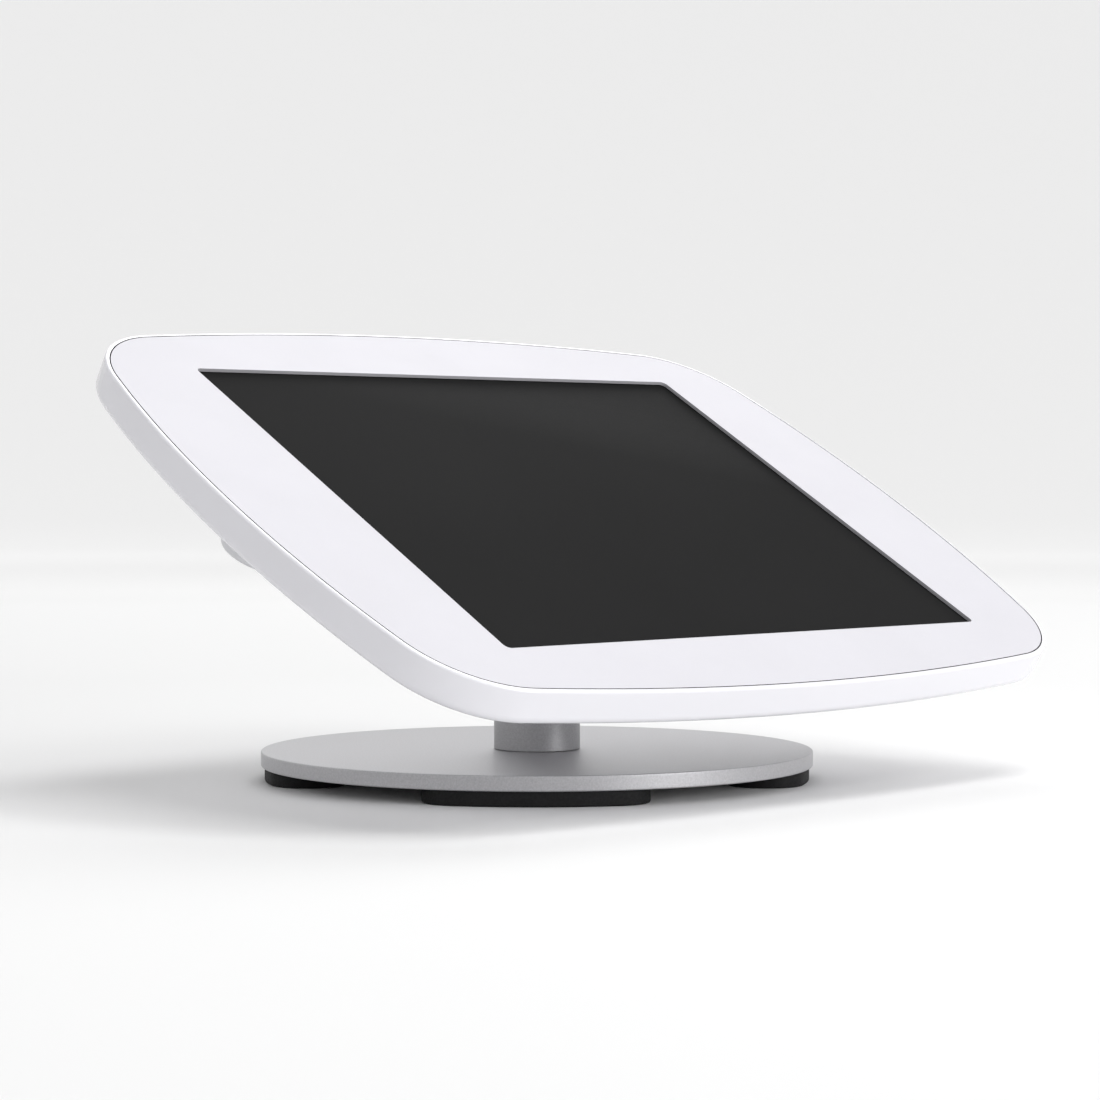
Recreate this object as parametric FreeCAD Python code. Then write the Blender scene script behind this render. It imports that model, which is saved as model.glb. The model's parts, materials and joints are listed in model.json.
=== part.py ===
import FreeCAD, Part
import math
import os

from FreeCAD import Placement, Rotation, Vector

# Tablet point-of-sale terminal: a lockable tablet case on a weighted swivel counter stand.
# Millimetres. +Z is up, +X is the user's right, and the user stands on the -Y side.
# The origin lies on the counter top, on the swivel axis.
# The case is modelled flat in its own frame (u along the width, v up the slope, w out of
# the front face, w = 0 on the front face) and then placed on the slope.

# ---- fits shared by all pieces
seat_fit = 0.02          # radial clearance of a seated or threaded piece
running_fit = 0.05       # radial clearance of a turning or sliding piece
assembly_gap = 0.3       # free gap between neighbours that must not touch
over = 1.0               # how far a cutting shape runs past the face that it cuts

# ---- counter base
plate_diameter = 224.0
plate_thickness = 6.0
plate_edge_break = 0.5
foot_height = 6.0
foot_width = 30.5
foot_inset = 1.5         # from the plate's rim to the outer edge of the foot
foot_arc_half = 17.13    # degrees from a foot's middle to the centre of its round end
foot_first_angle = 45.0
foot_count = 4
foot_edge_radius = 0.8
foot_screw_angle = 10.0  # degrees each side of the foot's middle
foot_screw_recess = 3.0

# ---- screws
m4 = {"size": 4.0, "head": 8.0, "head_height": 2.4, "socket": 2.5}
m4_flat = {"size": 4.0, "head": 7.6, "head_height": 2.0, "socket": 2.5}
m3 = {"size": 3.0, "head": 5.6, "head_height": 1.8, "socket": 2.0}
blind_floor = 0.8        # metal left over a blind hole

# ---- swivel
spigot_wall = 4.5
spigot_flange_diameter = 50.0
spigot_flange_thickness = 2.5
spigot_screw_circle = 39.0
spigot_screw_count = 4
bush_wall = 1.0
bush_flange = 1.5
bush_length = 8.0
hub_length = 19.5
hub_screw_rise = 10.5    # above the hub's foot
hub_screw_angles = (60.0, 120.0)
stop_washer_thickness = 1.5
wave_washer_thickness = 0.6
nut_height = 4.0
nut_wall = 2.0
nut_clearance = 1.0      # between the spigot nut and the tube's bore
nut_slot = 3.0
spigot_tip = 0.4         # spigot above its nut
key_width = 3.0
key_depth = 1.5
swivel_range = 165.0     # degrees each way
lug_half_angle = 6.0
stop_slack = 0.5         # degrees left between lug and tab at the limit

# ---- stand tube
tube_diameter = 35.0
tube_wall = 2.0
tube_gap = 0.3           # between the turning tube and the plate
bend_rise = 45.5         # from the plate up to where the case's normal meets the axis
bend_radius = 60.0
tilt = 30.36             # slope of the case from horizontal, degrees
neck_reach = 50.6        # from that crossing to the back of the case, along the normal

# ---- mounting flange between tube and case
flange_edge = 7.5        # outside the screw holes' centres
flange_thickness = 4.0
flange_corner = 10.0
mount_pitch = 75.0       # square four-hole display mount pattern
tube_seat = 2.0          # depth of the tube's end in the flange plate
collar_height = 6.0
collar_wall = 3.0
backing_edge = 12.5      # outside the screw holes' centres
backing_thickness = 2.0
cable_slot = 14.0

# ---- case
case_side_margin = 32.99     # from the tablet's side to the seam, at mid height
case_top_margin = 23.19      # from the tablet's top to the seam, at mid width
side_bow_radius = 450.0
top_bow_radius = 1200.0
case_corner_radius = 42.0
cable_space = 4.37           # under the tablet
rim_width = 2.0
seam_gap = 0.4
rim_edge_radius = 1.0
back_edge_radius = 4.0
tray_floor = 2.0
ledge_width = 5.0
ledge_thickness = 2.0
inner_floor_radius = 1.5
cable_hole_inset = 1.5       # the cable hole's edge inside the tube's bore
grommet_wall = 2.0
grommet_lip = 1.0

# ---- faceplate
faceplate_thickness = 1.5
window_reveal = 1.95         # round the display
window_corner = 2.5
hook_spacing = 36.0
hook_width = 12.0
hook_sheet = 1.2

# ---- lock
lock_inset = 22.74           # from the seam on the left
lock_v = 0.0
lock_head_diameter = 31.4
lock_head_height = 7.2
lock_barrel_diameter = 16.0
lock_plug_diameter = 12.0
lock_plug_recess = 0.5
lock_barrel_inside = 4.1     # barrel above the tray floor
lock_nut_flats = 22.0
lock_nut_height = 2.0
key_slot_width = 1.6
key_slot_height = 8.0
key_slot_depth = 10.0
cam_thickness = 1.5
cam_width = 9.0
cam_reach = 13.5
cam_hub_radius = 6.5
cam_clearance = 0.4

# ---- tablet
display_width = 262.9
display_height = 197.0
side_bezel = 21.4
top_bezel = 11.8
tablet_thickness = 6.9
tablet_corner = 12.0
tablet_wall = 1.0
tablet_back_radius = 2.5
glass_drop = 0.23            # glass below the faceplate's underside
glass_thickness = 0.8
glass_margin = 0.8
display_thickness = 2.0
display_border = 1.5
battery_thickness = 2.6
battery_margins = (30.85, 17.3, 53.3)    # to the tablet's side, lower and upper edges
board_width = 26.0
board_margin = 25.3          # to the tablet's upper and lower edges
board_gap = 5.0
board_thickness = 2.0
speaker_size = (16.0, 34.0)
speaker_inset = (13.0, 50.3)
home_button_diameter = 11.0
home_button_inset = 10.7     # from the tablet's right edge
button_travel = 0.3
button_proud = 0.4
button_inside = 1.2
power_button_length = 10.0
volume_button_length = 9.0
button_height = 2.2
power_button_inset = 34.0    # from the tablet's upper edge
volume_button_inset = (42.0, 54.0)
port_width = 9.0
port_height = 2.8
port_depth = 7.0
port_wall = 0.4

# ---- pieces that hold the tablet in the tray
block_leg = 20.0
block_wall = 5.0
block_top = 5.0              # above the tablet's back
pad_thickness = 1.0
pad_size = 13.0
strip_width = 20.0
strip_length = 120.0
strip_offset = 78.0

# ---- levels and radii that follow
plate_top = foot_height + plate_thickness
bend_height = plate_top + bend_rise
plate_radius = plate_diameter / 2
foot_outer_radius = plate_radius - foot_inset
foot_mean_radius = foot_outer_radius - foot_width / 2
tube_radius = tube_diameter / 2
tube_bore = tube_radius - tube_wall
nut_radius = tube_bore - nut_clearance
spigot_radius = nut_radius - nut_wall
bore_radius = spigot_radius - spigot_wall
hub_bottom = plate_top + bush_flange
hub_screw_height = hub_bottom + hub_screw_rise
hub_top = hub_bottom + hub_length
stop_washer_bottom = hub_top + bush_flange
wave_washer_bottom = stop_washer_bottom + stop_washer_thickness
nut_bottom = wave_washer_bottom + wave_washer_thickness
spigot_top = nut_bottom + nut_height + spigot_tip
bush_bore = spigot_radius + running_fit
hub_bore = bush_bore + bush_wall + seat_fit
lug_inner = nut_radius + assembly_gap / 2
lug_outer = tube_bore - seat_fit
bend_tangent = bend_radius * math.tan(math.radians(tilt) / 2)
bend_start = bend_height - bend_tangent
flange_size = mount_pitch + 2 * flange_edge
backing_size = mount_pitch + 2 * backing_edge
cable_hole_radius = tube_bore - cable_hole_inset
w_plate_under = -faceplate_thickness
w_ledge_under = w_plate_under - ledge_thickness
w_glass = w_plate_under - glass_drop
w_tablet_back = w_glass - tablet_thickness
w_floor = w_tablet_back - cable_space
w_back = w_floor - tray_floor
w_flange = w_back - flange_thickness
w_tube_top = w_flange + tube_seat
neck_length = neck_reach - w_back
w_bend_end = bend_tangent - neck_length
w_display_top = w_glass - glass_thickness
w_display_under = w_display_top - display_thickness
w_backing_top = w_floor + backing_thickness
w_lock_face = w_back - lock_head_height
w_plug_top = w_floor + lock_barrel_inside
w_cam_top = w_plug_top + cam_thickness
tablet_width = display_width + 2 * side_bezel
tablet_height = display_height + 2 * top_bezel
half_tablet_w = tablet_width / 2
half_tablet_h = tablet_height / 2
case_half_width = half_tablet_w + case_side_margin
case_half_height = half_tablet_h + case_top_margin
window_width = display_width + 2 * window_reveal
window_height = display_height + 2 * window_reveal
lock_u = lock_inset - case_half_width
hinge_u = case_half_width - seam_gap / 2

case_placement = Placement(Vector(0, 0, bend_height), Rotation(Vector(1, 0, 0), tilt))
case_placement = case_placement.multiply(Placement(Vector(0, 0, neck_length), Rotation()))


# ---- plain shapes
def rod(radius, low, high, x=0.0, y=0.0):
    return Part.makeCylinder(radius, high - low, Vector(x, y, low))


def ring(outer, inner, low, high, x=0.0, y=0.0):
    return rod(outer, low, high, x, y).cut(rod(inner, low - over, high + over, x, y))


def box(x0, x1, y0, y1, z0, z1):
    return Part.makeBox(x1 - x0, y1 - y0, z1 - z0, Vector(x0, y0, z0))


def arc(start, middle, end):
    return Part.Arc(start, middle, end).toShape()


def prism(wire, low, high):
    face = Part.Face(wire)
    solid = face.extrude(Vector(0, 0, high - low))
    solid.translate(Vector(0, 0, low))
    return solid


def rounded_prism(width, height, corner, low, high, x=0.0, y=0.0):
    """A plate with round corners, centred on x, y."""
    solid = box(x - width / 2, x + width / 2, y - height / 2, y + height / 2, low, high)
    upright = [e for e in solid.Edges if abs(e.Vertexes[0].Z - e.Vertexes[1].Z) > 1e-6]
    return solid.makeFillet(corner, upright)


def edges_at(shape, level):
    """The edges that lie wholly at one height."""
    found = []
    for edge in shape.Edges:
        bounds = edge.BoundBox
        if abs(bounds.ZMin - level) < 1e-4 and abs(bounds.ZMax - level) < 1e-4:
            found.append(edge)
    return found


def extruded_profile(points, v0, v1):
    """A profile of (u, w) points, extruded along v."""
    corners = [Vector(u, v0, w) for u, w in points]
    wire = Part.makePolygon(corners + corners[:1])
    return Part.Face(wire).extrude(Vector(0, v1 - v0, 0))


def sector(inner, outer, middle, half_angle, low, high):
    """A block between two radii, half_angle degrees each side of its middle."""
    def at(radius, angle):
        turn = math.radians(angle)
        return Vector(radius * math.cos(turn), radius * math.sin(turn), 0)

    first = middle - half_angle
    last = middle + half_angle
    edges = [
        Part.makeLine(at(inner, first), at(outer, first)),
        arc(at(outer, first), at(outer, middle), at(outer, last)),
        Part.makeLine(at(outer, last), at(inner, last)),
        arc(at(inner, last), at(inner, middle), at(inner, first)),
    ]
    return prism(Part.Wire(edges), low, high)


def polar(radius, angle, z=0.0):
    turn = math.radians(angle)
    return Vector(radius * math.cos(turn), radius * math.sin(turn), z)


def group(shapes):
    return Part.makeCompound(shapes)


def cut_all(shape, tools):
    for tool in tools:
        shape = shape.cut(tool)
    return shape


def on_case(shape):
    """A shape modelled in the case's frame, moved to its place."""
    placed = shape.copy()
    placed.Placement = case_placement.multiply(placed.Placement)
    return placed


# ---- screws: the seat of the head is at z = 0 and the shank points along +Z
def hex_socket(across, low, high):
    corner = across / math.sqrt(3)
    points = [polar(corner, 60 * step, low) for step in range(7)]
    return Part.Face(Part.makePolygon(points)).extrude(Vector(0, 0, high - low))


def pan_screw(kind, length):
    head = rod(kind["head"] / 2, -kind["head_height"], 0)
    head = head.makeFillet(kind["head_height"] * 0.4, edges_at(head, -kind["head_height"]))
    screw = head.fuse(rod(kind["size"] / 2, -0.1, length))
    socket = hex_socket(kind["socket"], -kind["head_height"] - 1, -kind["head_height"] * 0.4)
    return screw.cut(socket).removeSplitter()


def flat_screw(kind, length):
    head = Part.makeCone(kind["head"] / 2, kind["size"] / 2, kind["head_height"])
    screw = head.fuse(rod(kind["size"] / 2, kind["head_height"] - 0.1, length))
    socket = hex_socket(kind["socket"], -1, kind["head_height"] * 0.6)
    return screw.cut(socket).removeSplitter()


def flat_head_space(kind, depth):
    """The countersink and hole that a flat screw fills, with its fit."""
    cone = Part.makeCone(kind["head"] / 2 + seat_fit, kind["size"] / 2 + seat_fit,
                         kind["head_height"])
    return cone.fuse(rod(kind["size"] / 2 + seat_fit, 0, depth))


def moved(shape, place):
    copy = shape.copy()
    copy.translate(place)
    return copy


# ---- counter base
def foot_angles():
    return [foot_first_angle + 360 / foot_count * step for step in range(foot_count)]


def foot_screw_places(angle):
    return [polar(foot_mean_radius, angle + side * foot_screw_angle) for side in (-1, 1)]


def foot_outline(angle):
    """A curved pad whose ends are full half circles."""
    half = foot_width / 2
    inner = foot_mean_radius - half
    first = angle - foot_arc_half
    last = angle + foot_arc_half
    first_tip = polar(foot_mean_radius, first) - polar(half, first + 90)
    last_tip = polar(foot_mean_radius, last) + polar(half, last + 90)
    return Part.Wire([
        arc(polar(foot_outer_radius, first), polar(foot_outer_radius, angle),
            polar(foot_outer_radius, last)),
        arc(polar(foot_outer_radius, last), last_tip, polar(inner, last)),
        arc(polar(inner, last), polar(inner, angle), polar(inner, first)),
        arc(polar(inner, first), first_tip, polar(foot_outer_radius, first)),
    ])


def rubber_foot(angle):
    foot = prism(foot_outline(angle), 0, foot_height)
    foot = foot.makeFillet(foot_edge_radius, edges_at(foot, 0))
    for place in foot_screw_places(angle):
        recess = rod(m4["head"] / 2 + assembly_gap, -over, foot_screw_recess, place.x,
                     place.y)
        hole = rod(m4["size"] / 2 + seat_fit, 0, foot_height + over, place.x, place.y)
        foot = foot.cut(recess).cut(hole)
    return foot


def foot_screws():
    length = plate_top - blind_floor - foot_screw_recess
    screws = []
    for angle in foot_angles():
        for place in foot_screw_places(angle):
            screws.append(moved(pan_screw(m4, length - assembly_gap),
                                place + Vector(0, 0, foot_screw_recess)))
    return group(screws)


def spigot_screw_places():
    step = 360 / spigot_screw_count
    return [polar(spigot_screw_circle / 2, step * (n + 0.5), foot_height)
            for n in range(spigot_screw_count)]


def base_plate():
    plate = rod(plate_radius, foot_height, plate_top)
    plate = plate.makeFillet(plate_edge_break,
                             edges_at(plate, plate_top) + edges_at(plate, foot_height))
    flange_space = rod(spigot_flange_diameter / 2 + assembly_gap, foot_height - over,
                       foot_height + spigot_flange_thickness)
    tools = [flange_space, rod(spigot_radius + seat_fit, 0, plate_top + over)]
    hole_depth = plate_thickness - blind_floor
    for place in spigot_screw_places():
        tools.append(rod(m4_flat["size"] / 2 + seat_fit, foot_height,
                         foot_height + hole_depth, place.x, place.y))
    for angle in foot_angles():
        for place in foot_screw_places(angle):
            tools.append(rod(m4["size"] / 2 + seat_fit, foot_height,
                             foot_height + hole_depth, place.x, place.y))
    return cut_all(plate, tools)


# ---- swivel
def spigot_key_space(extra):
    """The keyway for the stop washer, on the front of the spigot."""
    half = key_width / 2 + extra
    return box(-half, half, -spigot_radius - 1, -spigot_radius + key_depth + extra,
               stop_washer_bottom - over, spigot_top + over)


def swivel_spigot():
    flange = rod(spigot_flange_diameter / 2, foot_height,
                 foot_height + spigot_flange_thickness)
    spigot = flange.fuse(rod(spigot_radius, foot_height, spigot_top))
    tools = [rod(bore_radius, 0, spigot_top + over), spigot_key_space(seat_fit)]
    for place in spigot_screw_places():
        tools.append(moved(flat_head_space(m4_flat, plate_thickness), place))
    spigot = cut_all(spigot, tools).removeSplitter()
    rims = [e for e in edges_at(spigot, foot_height) if e.Length > 1
            and abs(e.BoundBox.XLength - 2 * bore_radius) < 0.01]
    return spigot.makeFillet(1.0, rims)


def spigot_screws():
    length = plate_thickness - blind_floor - assembly_gap
    return group([moved(flat_screw(m4_flat, length), place)
                  for place in spigot_screw_places()])


def swivel_hub():
    """A turned sleeve fixed in the tube, with the stop lug standing on its top."""
    hub = ring(tube_bore - seat_fit, hub_bore, hub_bottom, hub_top)
    lug = sector(lug_inner, lug_outer, 90, lug_half_angle, hub_top,
                 wave_washer_bottom)
    holes = [hub_screw_space(angle, seat_fit) for angle in hub_screw_angles]
    return cut_all(hub.fuse(lug).removeSplitter(), holes)


def hub_screw_space(angle, extra):
    start = polar(hub_bore + 0.2, angle, hub_screw_height)
    length = tube_radius - hub_bore + 1
    return Part.makeCylinder(m4["size"] / 2 + extra, length, start, polar(1, angle))


def hub_screws():
    """Two grub screws at the back that hold the hub in the tube."""
    screws = []
    for angle in hub_screw_angles:
        screw = hub_screw_space(angle, 0).common(rod(tube_radius - 0.3, 0, bend_start))
        socket = hex_socket(2.0, 0, 2)
        socket.Placement = Placement(polar(tube_radius - 1.8, angle, hub_screw_height),
                                     Rotation(Vector(0, 0, 1), polar(1, angle)))
        screws.append(screw.cut(socket))
    return group(screws)


def bush(sleeve_low, sleeve_high, flange_low):
    sleeve = rod(hub_bore - seat_fit, sleeve_low, sleeve_high)
    flange = rod(lug_outer - assembly_gap, flange_low, flange_low + bush_flange)
    return sleeve.fuse(flange).cut(rod(bush_bore, 0, spigot_top + over)).removeSplitter()


def lower_bush():
    return bush(plate_top, hub_bottom + bush_length, plate_top)


def upper_bush():
    """Like the lower bush, with a notch in its flange for the stop lug."""
    notch = sector(lug_inner - assembly_gap / 2, tube_radius, 90, lug_half_angle + stop_slack,
                   hub_top, stop_washer_bottom + over)
    return bush(hub_top - bush_length, stop_washer_bottom, hub_top).cut(notch)


def stop_washer():
    """Keyed to the spigot; its tab meets the hub's lug at both ends of the swivel."""
    low = stop_washer_bottom
    high = wave_washer_bottom
    tab_half = 180 - swivel_range - lug_half_angle - stop_slack
    washer = rod(nut_radius - assembly_gap, low, high)
    washer = washer.fuse(sector(spigot_radius, lug_outer - assembly_gap, -90, tab_half,
                                low, high))
    washer = washer.cut(rod(spigot_radius + seat_fit, low - over, high + over))
    key = box(-key_width / 2, key_width / 2, -spigot_radius - 0.5,
              -spigot_radius + key_depth, low, high)
    return washer.fuse(key).removeSplitter()


def wave_washer():
    return ring(nut_radius - assembly_gap, spigot_radius + seat_fit, wave_washer_bottom,
                nut_bottom)


def spigot_nut():
    top = nut_bottom + nut_height
    nut = ring(nut_radius, spigot_radius + seat_fit, nut_bottom, top)
    slots = [sector(nut_radius - 0.8, nut_radius + 1, 90 * n + 45,
                    math.degrees(nut_slot / 2 / nut_radius), nut_bottom - over, top + over)
             for n in range(4)]
    return cut_all(nut, slots)


# ---- stand tube
def bent_bar(radius, low, top_w):
    """A round bar up the swivel axis, round the bend and along the case's normal."""
    lower = rod(radius, low, bend_start)
    section = Part.Face(Part.Wire(Part.makeCircle(radius, Vector(0, 0, bend_start))))
    bend = section.revolve(Vector(0, -bend_radius, bend_start), Vector(1, 0, 0), tilt)
    upper = on_case(rod(radius, w_bend_end, top_w))
    return lower.fuse([bend, upper]).removeSplitter()


def stand_tube():
    low = plate_top + tube_gap
    tube = bent_bar(tube_radius, low, w_tube_top)
    tube = tube.cut(bent_bar(tube_bore, low - over, w_tube_top + over))
    return cut_all(tube, [hub_screw_space(angle, seat_fit) for angle in hub_screw_angles])


# ---- flange between tube and case
def mount_places():
    half = mount_pitch / 2
    return [Vector(x, y, 0) for x in (-half, half) for y in (-half, half)]


def mount_holes(radius):
    return [rod(radius, w_flange - over, w_backing_top + over, p.x, p.y) for p in mount_places()]


def mount_flange():
    plate = rounded_prism(flange_size, flange_size, flange_corner, w_flange, w_back)
    wide = tube_radius + collar_wall
    collar = Part.makeCone(wide - 1, wide + 1, collar_height,
                           Vector(0, 0, w_flange - collar_height))
    flange = plate.fuse(collar).removeSplitter()
    socket = rod(tube_radius + seat_fit, w_flange - collar_height - over, w_tube_top)
    tools = [socket, rod(tube_bore, w_tube_top - over, w_back + over)]
    tools += mount_holes(m4["size"] / 2 + assembly_gap)
    return on_case(cut_all(flange, tools))


def mount_screws():
    length = flange_thickness + tray_floor + backing_thickness
    return on_case(group([moved(pan_screw(m4, length), p + Vector(0, 0, w_flange))
                          for p in mount_places()]))


def backing_plate():
    plate = rounded_prism(backing_size, backing_size, flange_corner, w_floor,
                          w_backing_top)
    hole = cable_hole_radius + grommet_wall + assembly_gap
    tools = [rod(hole, w_floor - over, w_backing_top + over),
             box(0, backing_size, -cable_slot / 2, cable_slot / 2, w_floor - over,
                 w_backing_top + over)]
    tools += mount_holes(m4["size"] / 2 + seat_fit)
    return on_case(cut_all(plate, tools))


def cable_grommet():
    """Rubber edging of the cable hole in the tray floor."""
    hole = cable_hole_radius
    body = rod(hole - seat_fit, w_back, w_floor)
    upper_lip = rod(hole + grommet_wall, w_floor, w_floor + grommet_lip)
    lower_lip = rod(tube_bore - assembly_gap, w_back - grommet_lip, w_back)
    grommet = body.fuse([upper_lip, lower_lip])
    grommet = grommet.cut(rod(hole - grommet_wall, w_back - 2 * over, w_floor + 2 * over))
    return on_case(grommet.removeSplitter())


# ---- case outline: two bowed sides, bowed top and bottom, and round corners
def corner_centre():
    """The corner arc's centre, tangent inside a side arc and a top arc."""
    side = Vector(case_half_width - side_bow_radius, 0, 0)
    top = Vector(0, case_half_height - top_bow_radius, 0)
    side_reach = side_bow_radius - case_corner_radius
    top_reach = top_bow_radius - case_corner_radius
    span = top.sub(side)
    along = (side_reach ** 2 - top_reach ** 2 + span.Length ** 2) / (2 * span.Length)
    across = math.sqrt(side_reach ** 2 - along ** 2)
    unit = Vector(span).normalize()
    return side + unit * along + Vector(-unit.y, unit.x, 0) * across


def case_outline(offset):
    """The seam's outline moved outwards by offset; all arcs keep their centres."""
    corner = corner_centre()
    side_centre = Vector(case_half_width - side_bow_radius, 0, 0)
    top_centre = Vector(0, case_half_height - top_bow_radius, 0)
    to_side = corner.sub(side_centre).normalize()
    to_top = corner.sub(top_centre).normalize()
    between = to_side.add(to_top).normalize()
    radius = case_corner_radius + offset
    low_end = corner + to_side * radius
    high_end = corner + to_top * radius
    middle = corner + between * radius

    def mirror(point, x, y):
        return Vector(point.x * x, point.y * y, 0)

    right = Vector(case_half_width + offset, 0, 0)
    top = Vector(0, case_half_height + offset, 0)
    edges = [
        arc(mirror(low_end, 1, -1), right, low_end),
        arc(low_end, middle, high_end),
        arc(high_end, top, mirror(high_end, -1, 1)),
        arc(mirror(high_end, -1, 1), mirror(middle, -1, 1), mirror(low_end, -1, 1)),
        arc(mirror(low_end, -1, 1), mirror(right, -1, 1), mirror(low_end, -1, -1)),
        arc(mirror(low_end, -1, -1), mirror(middle, -1, -1), mirror(high_end, -1, -1)),
        arc(mirror(high_end, -1, -1), mirror(top, 1, -1), mirror(high_end, 1, -1)),
        arc(mirror(high_end, 1, -1), mirror(middle, 1, -1), mirror(low_end, 1, -1)),
    ]
    return Part.Wire(edges)


def block_screw_places():
    """Outside the tablet's round corners, on the diagonal."""
    out = block_wall / 2 - 1.2
    return [Vector(x * (half_tablet_w + out), y * (half_tablet_h + out), 0)
            for x in (-1, 1) for y in (-1, 1)]


def case_tray():
    outside = prism(case_outline(rim_width), w_back, 0)
    outside = outside.makeFillet(back_edge_radius, edges_at(outside, w_back))
    outside = outside.makeFillet(rim_edge_radius, edges_at(outside, 0))
    pocket = prism(case_outline(seam_gap / 2), w_plate_under, over)
    throat = prism(case_outline(-ledge_width), w_ledge_under - over, w_plate_under)
    cavity = prism(case_outline(0), w_floor, w_ledge_under)
    cavity = cavity.makeFillet(inner_floor_radius, edges_at(cavity, w_floor))
    lock_hole = rod(lock_barrel_diameter / 2 + seat_fit, w_back - over, w_floor + over,
                    lock_u, lock_v)
    cable_hole = rod(cable_hole_radius, w_back - over, w_floor + over)
    tools = [pocket, throat, cavity, lock_hole, cable_hole]
    tools += mount_holes(m4["size"] / 2 + assembly_gap)
    for place in block_screw_places():
        tools.append(rod(m3["size"] / 2 + seat_fit, w_back + blind_floor, w_floor + over,
                         place.x, place.y))
    return on_case(cut_all(outside, tools))


# ---- faceplate, hung on two hooks under the right-hand ledge
def faceplate():
    plate = prism(case_outline(-seam_gap / 2), w_plate_under, 0)
    window = rounded_prism(window_width, window_height, window_corner,
                           w_plate_under - over, over)
    return on_case(plate.cut(window))


def faceplate_hooks():
    """Sheet hooks; each toe slopes so that it rolls out from under the ledge."""
    sheet = hook_sheet
    ledge_edge = hinge_u + seam_gap / 2 - ledge_width
    stem = ledge_edge - 1.4
    tip = ledge_edge + 0.2
    toe_top = w_ledge_under - 0.1
    toe_low = w_ledge_under - 1.4
    profile = [
        (stem - 12.0, w_plate_under), (stem, w_plate_under), (stem, toe_top),
        (tip, toe_low), (tip, toe_low - 0.9), (stem - sheet, toe_low - 0.9),
        (stem - sheet, w_plate_under - sheet), (stem - 12.0, w_plate_under - sheet),
    ]
    hooks = []
    for side in (-1, 1):
        middle = side * hook_spacing / 2
        hooks.append(extruded_profile(profile, middle - hook_width / 2,
                                      middle + hook_width / 2))
    return on_case(group(hooks))


def lock_keeper():
    """A J-shaped strap under the faceplate that the cam swings over."""
    sheet = hook_sheet
    toe_top = w_plug_top - cam_clearance
    outer = lock_u - cam_reach - 2 * sheet - 0.7
    toe_end = lock_u - cam_reach + 3.0
    profile = [
        (outer, w_plate_under), (lock_u, w_plate_under), (lock_u, w_plate_under - sheet),
        (outer + sheet, w_plate_under - sheet), (outer + sheet, toe_top),
        (toe_end, toe_top), (toe_end, toe_top - sheet), (outer, toe_top - sheet),
    ]
    half = hook_width / 2
    return on_case(extruded_profile(profile, lock_v - half, lock_v + half))


# ---- cam lock, worked by a key from behind
def lock_body():
    radius = lock_head_diameter / 2
    head = rod(radius, w_lock_face, w_back, lock_u, lock_v)
    head = head.makeFillet(1.2, edges_at(head, w_lock_face))
    barrel = rod(lock_barrel_diameter / 2, w_back, w_plug_top, lock_u, lock_v)
    bore = rod(lock_plug_diameter / 2 + running_fit, w_lock_face - over, w_plug_top + over,
               lock_u, lock_v)
    return on_case(head.fuse(barrel).removeSplitter().cut(bore))


def lock_nut():
    nut = hex_socket(lock_nut_flats, w_floor, w_floor + lock_nut_height)
    nut.translate(Vector(lock_u, lock_v, 0))
    hole = rod(lock_barrel_diameter / 2 + seat_fit, w_floor - over,
               w_floor + lock_nut_height + over,
               lock_u, lock_v)
    return on_case(nut.cut(hole))


def lock_plug():
    face = w_lock_face + lock_plug_recess
    plug = rod(lock_plug_diameter / 2, face, w_plug_top, lock_u, lock_v)
    slot = box(lock_u - key_slot_width / 2, lock_u + key_slot_width / 2,
               lock_v - key_slot_height / 2, lock_v + key_slot_height / 2,
               face - over, face + key_slot_depth)
    screw_hole = rod(m3["size"] / 2 + seat_fit, face + key_slot_depth + 0.6,
                     w_plug_top + over, lock_u, lock_v)
    return on_case(plug.cut(slot).cut(screw_hole))


def lock_cam():
    """In its open position, the arm points down the slope."""
    hub = rod(cam_hub_radius, w_plug_top, w_cam_top, lock_u, lock_v)
    half = cam_width / 2
    arm = box(lock_u - half, lock_u + half, lock_v - cam_reach + half, lock_v,
              w_plug_top, w_cam_top)
    tip = rod(half, w_plug_top, w_cam_top, lock_u, lock_v - cam_reach + half)
    hole = rod(m3["size"] / 2 + seat_fit, w_plug_top - over, w_cam_top + over, lock_u, lock_v)
    return on_case(hub.fuse([arm, tip]).removeSplitter().cut(hole))


def cam_screw():
    slot_end = w_lock_face + lock_plug_recess + key_slot_depth
    screw = pan_screw(m3, w_cam_top - slot_end - 1.0)
    screw.rotate(Vector(0, 0, 0), Vector(1, 0, 0), 180)
    screw.translate(Vector(lock_u, lock_v, w_cam_top))
    return on_case(screw)


# ---- tablet
def side_button(middle, length, edge_at_left, extra, proud, inside):
    """A button through the tablet's left or upper edge, grown by extra."""
    level = (w_display_under + w_tablet_back) / 2
    half = length / 2 + extra
    edge = button_height / 2 + extra
    if edge_at_left:
        return box(-half_tablet_w - proud, -half_tablet_w + inside,
                   middle - half, middle + half, level - edge, level + edge)
    return box(middle - half, middle + half,
               half_tablet_h - inside, half_tablet_h + proud, level - edge, level + edge)


def side_buttons(extra, proud, inside):
    """The power button on the left edge and the volume buttons on the upper one."""
    power_v = half_tablet_h - power_button_inset
    up_u, down_u = [inset - half_tablet_w for inset in volume_button_inset]
    return {
        "tablet_power_button": side_button(power_v, power_button_length, True,
                                           extra, proud, inside),
        "tablet_volume_up_button": side_button(up_u, volume_button_length, False,
                                               extra, proud, inside),
        "tablet_volume_down_button": side_button(down_u, volume_button_length, False,
                                                 extra, proud, inside),
    }


def button_holes():
    """Slots through the shell's edge, and room behind it for each button's foot."""
    slots = side_buttons(running_fit, over, 2 * tablet_wall)
    depth = tablet_wall + button_inside + button_travel + assembly_gap
    rooms = side_buttons(assembly_gap, -tablet_wall, depth)
    return list(slots.values()) + list(rooms.values())


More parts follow.
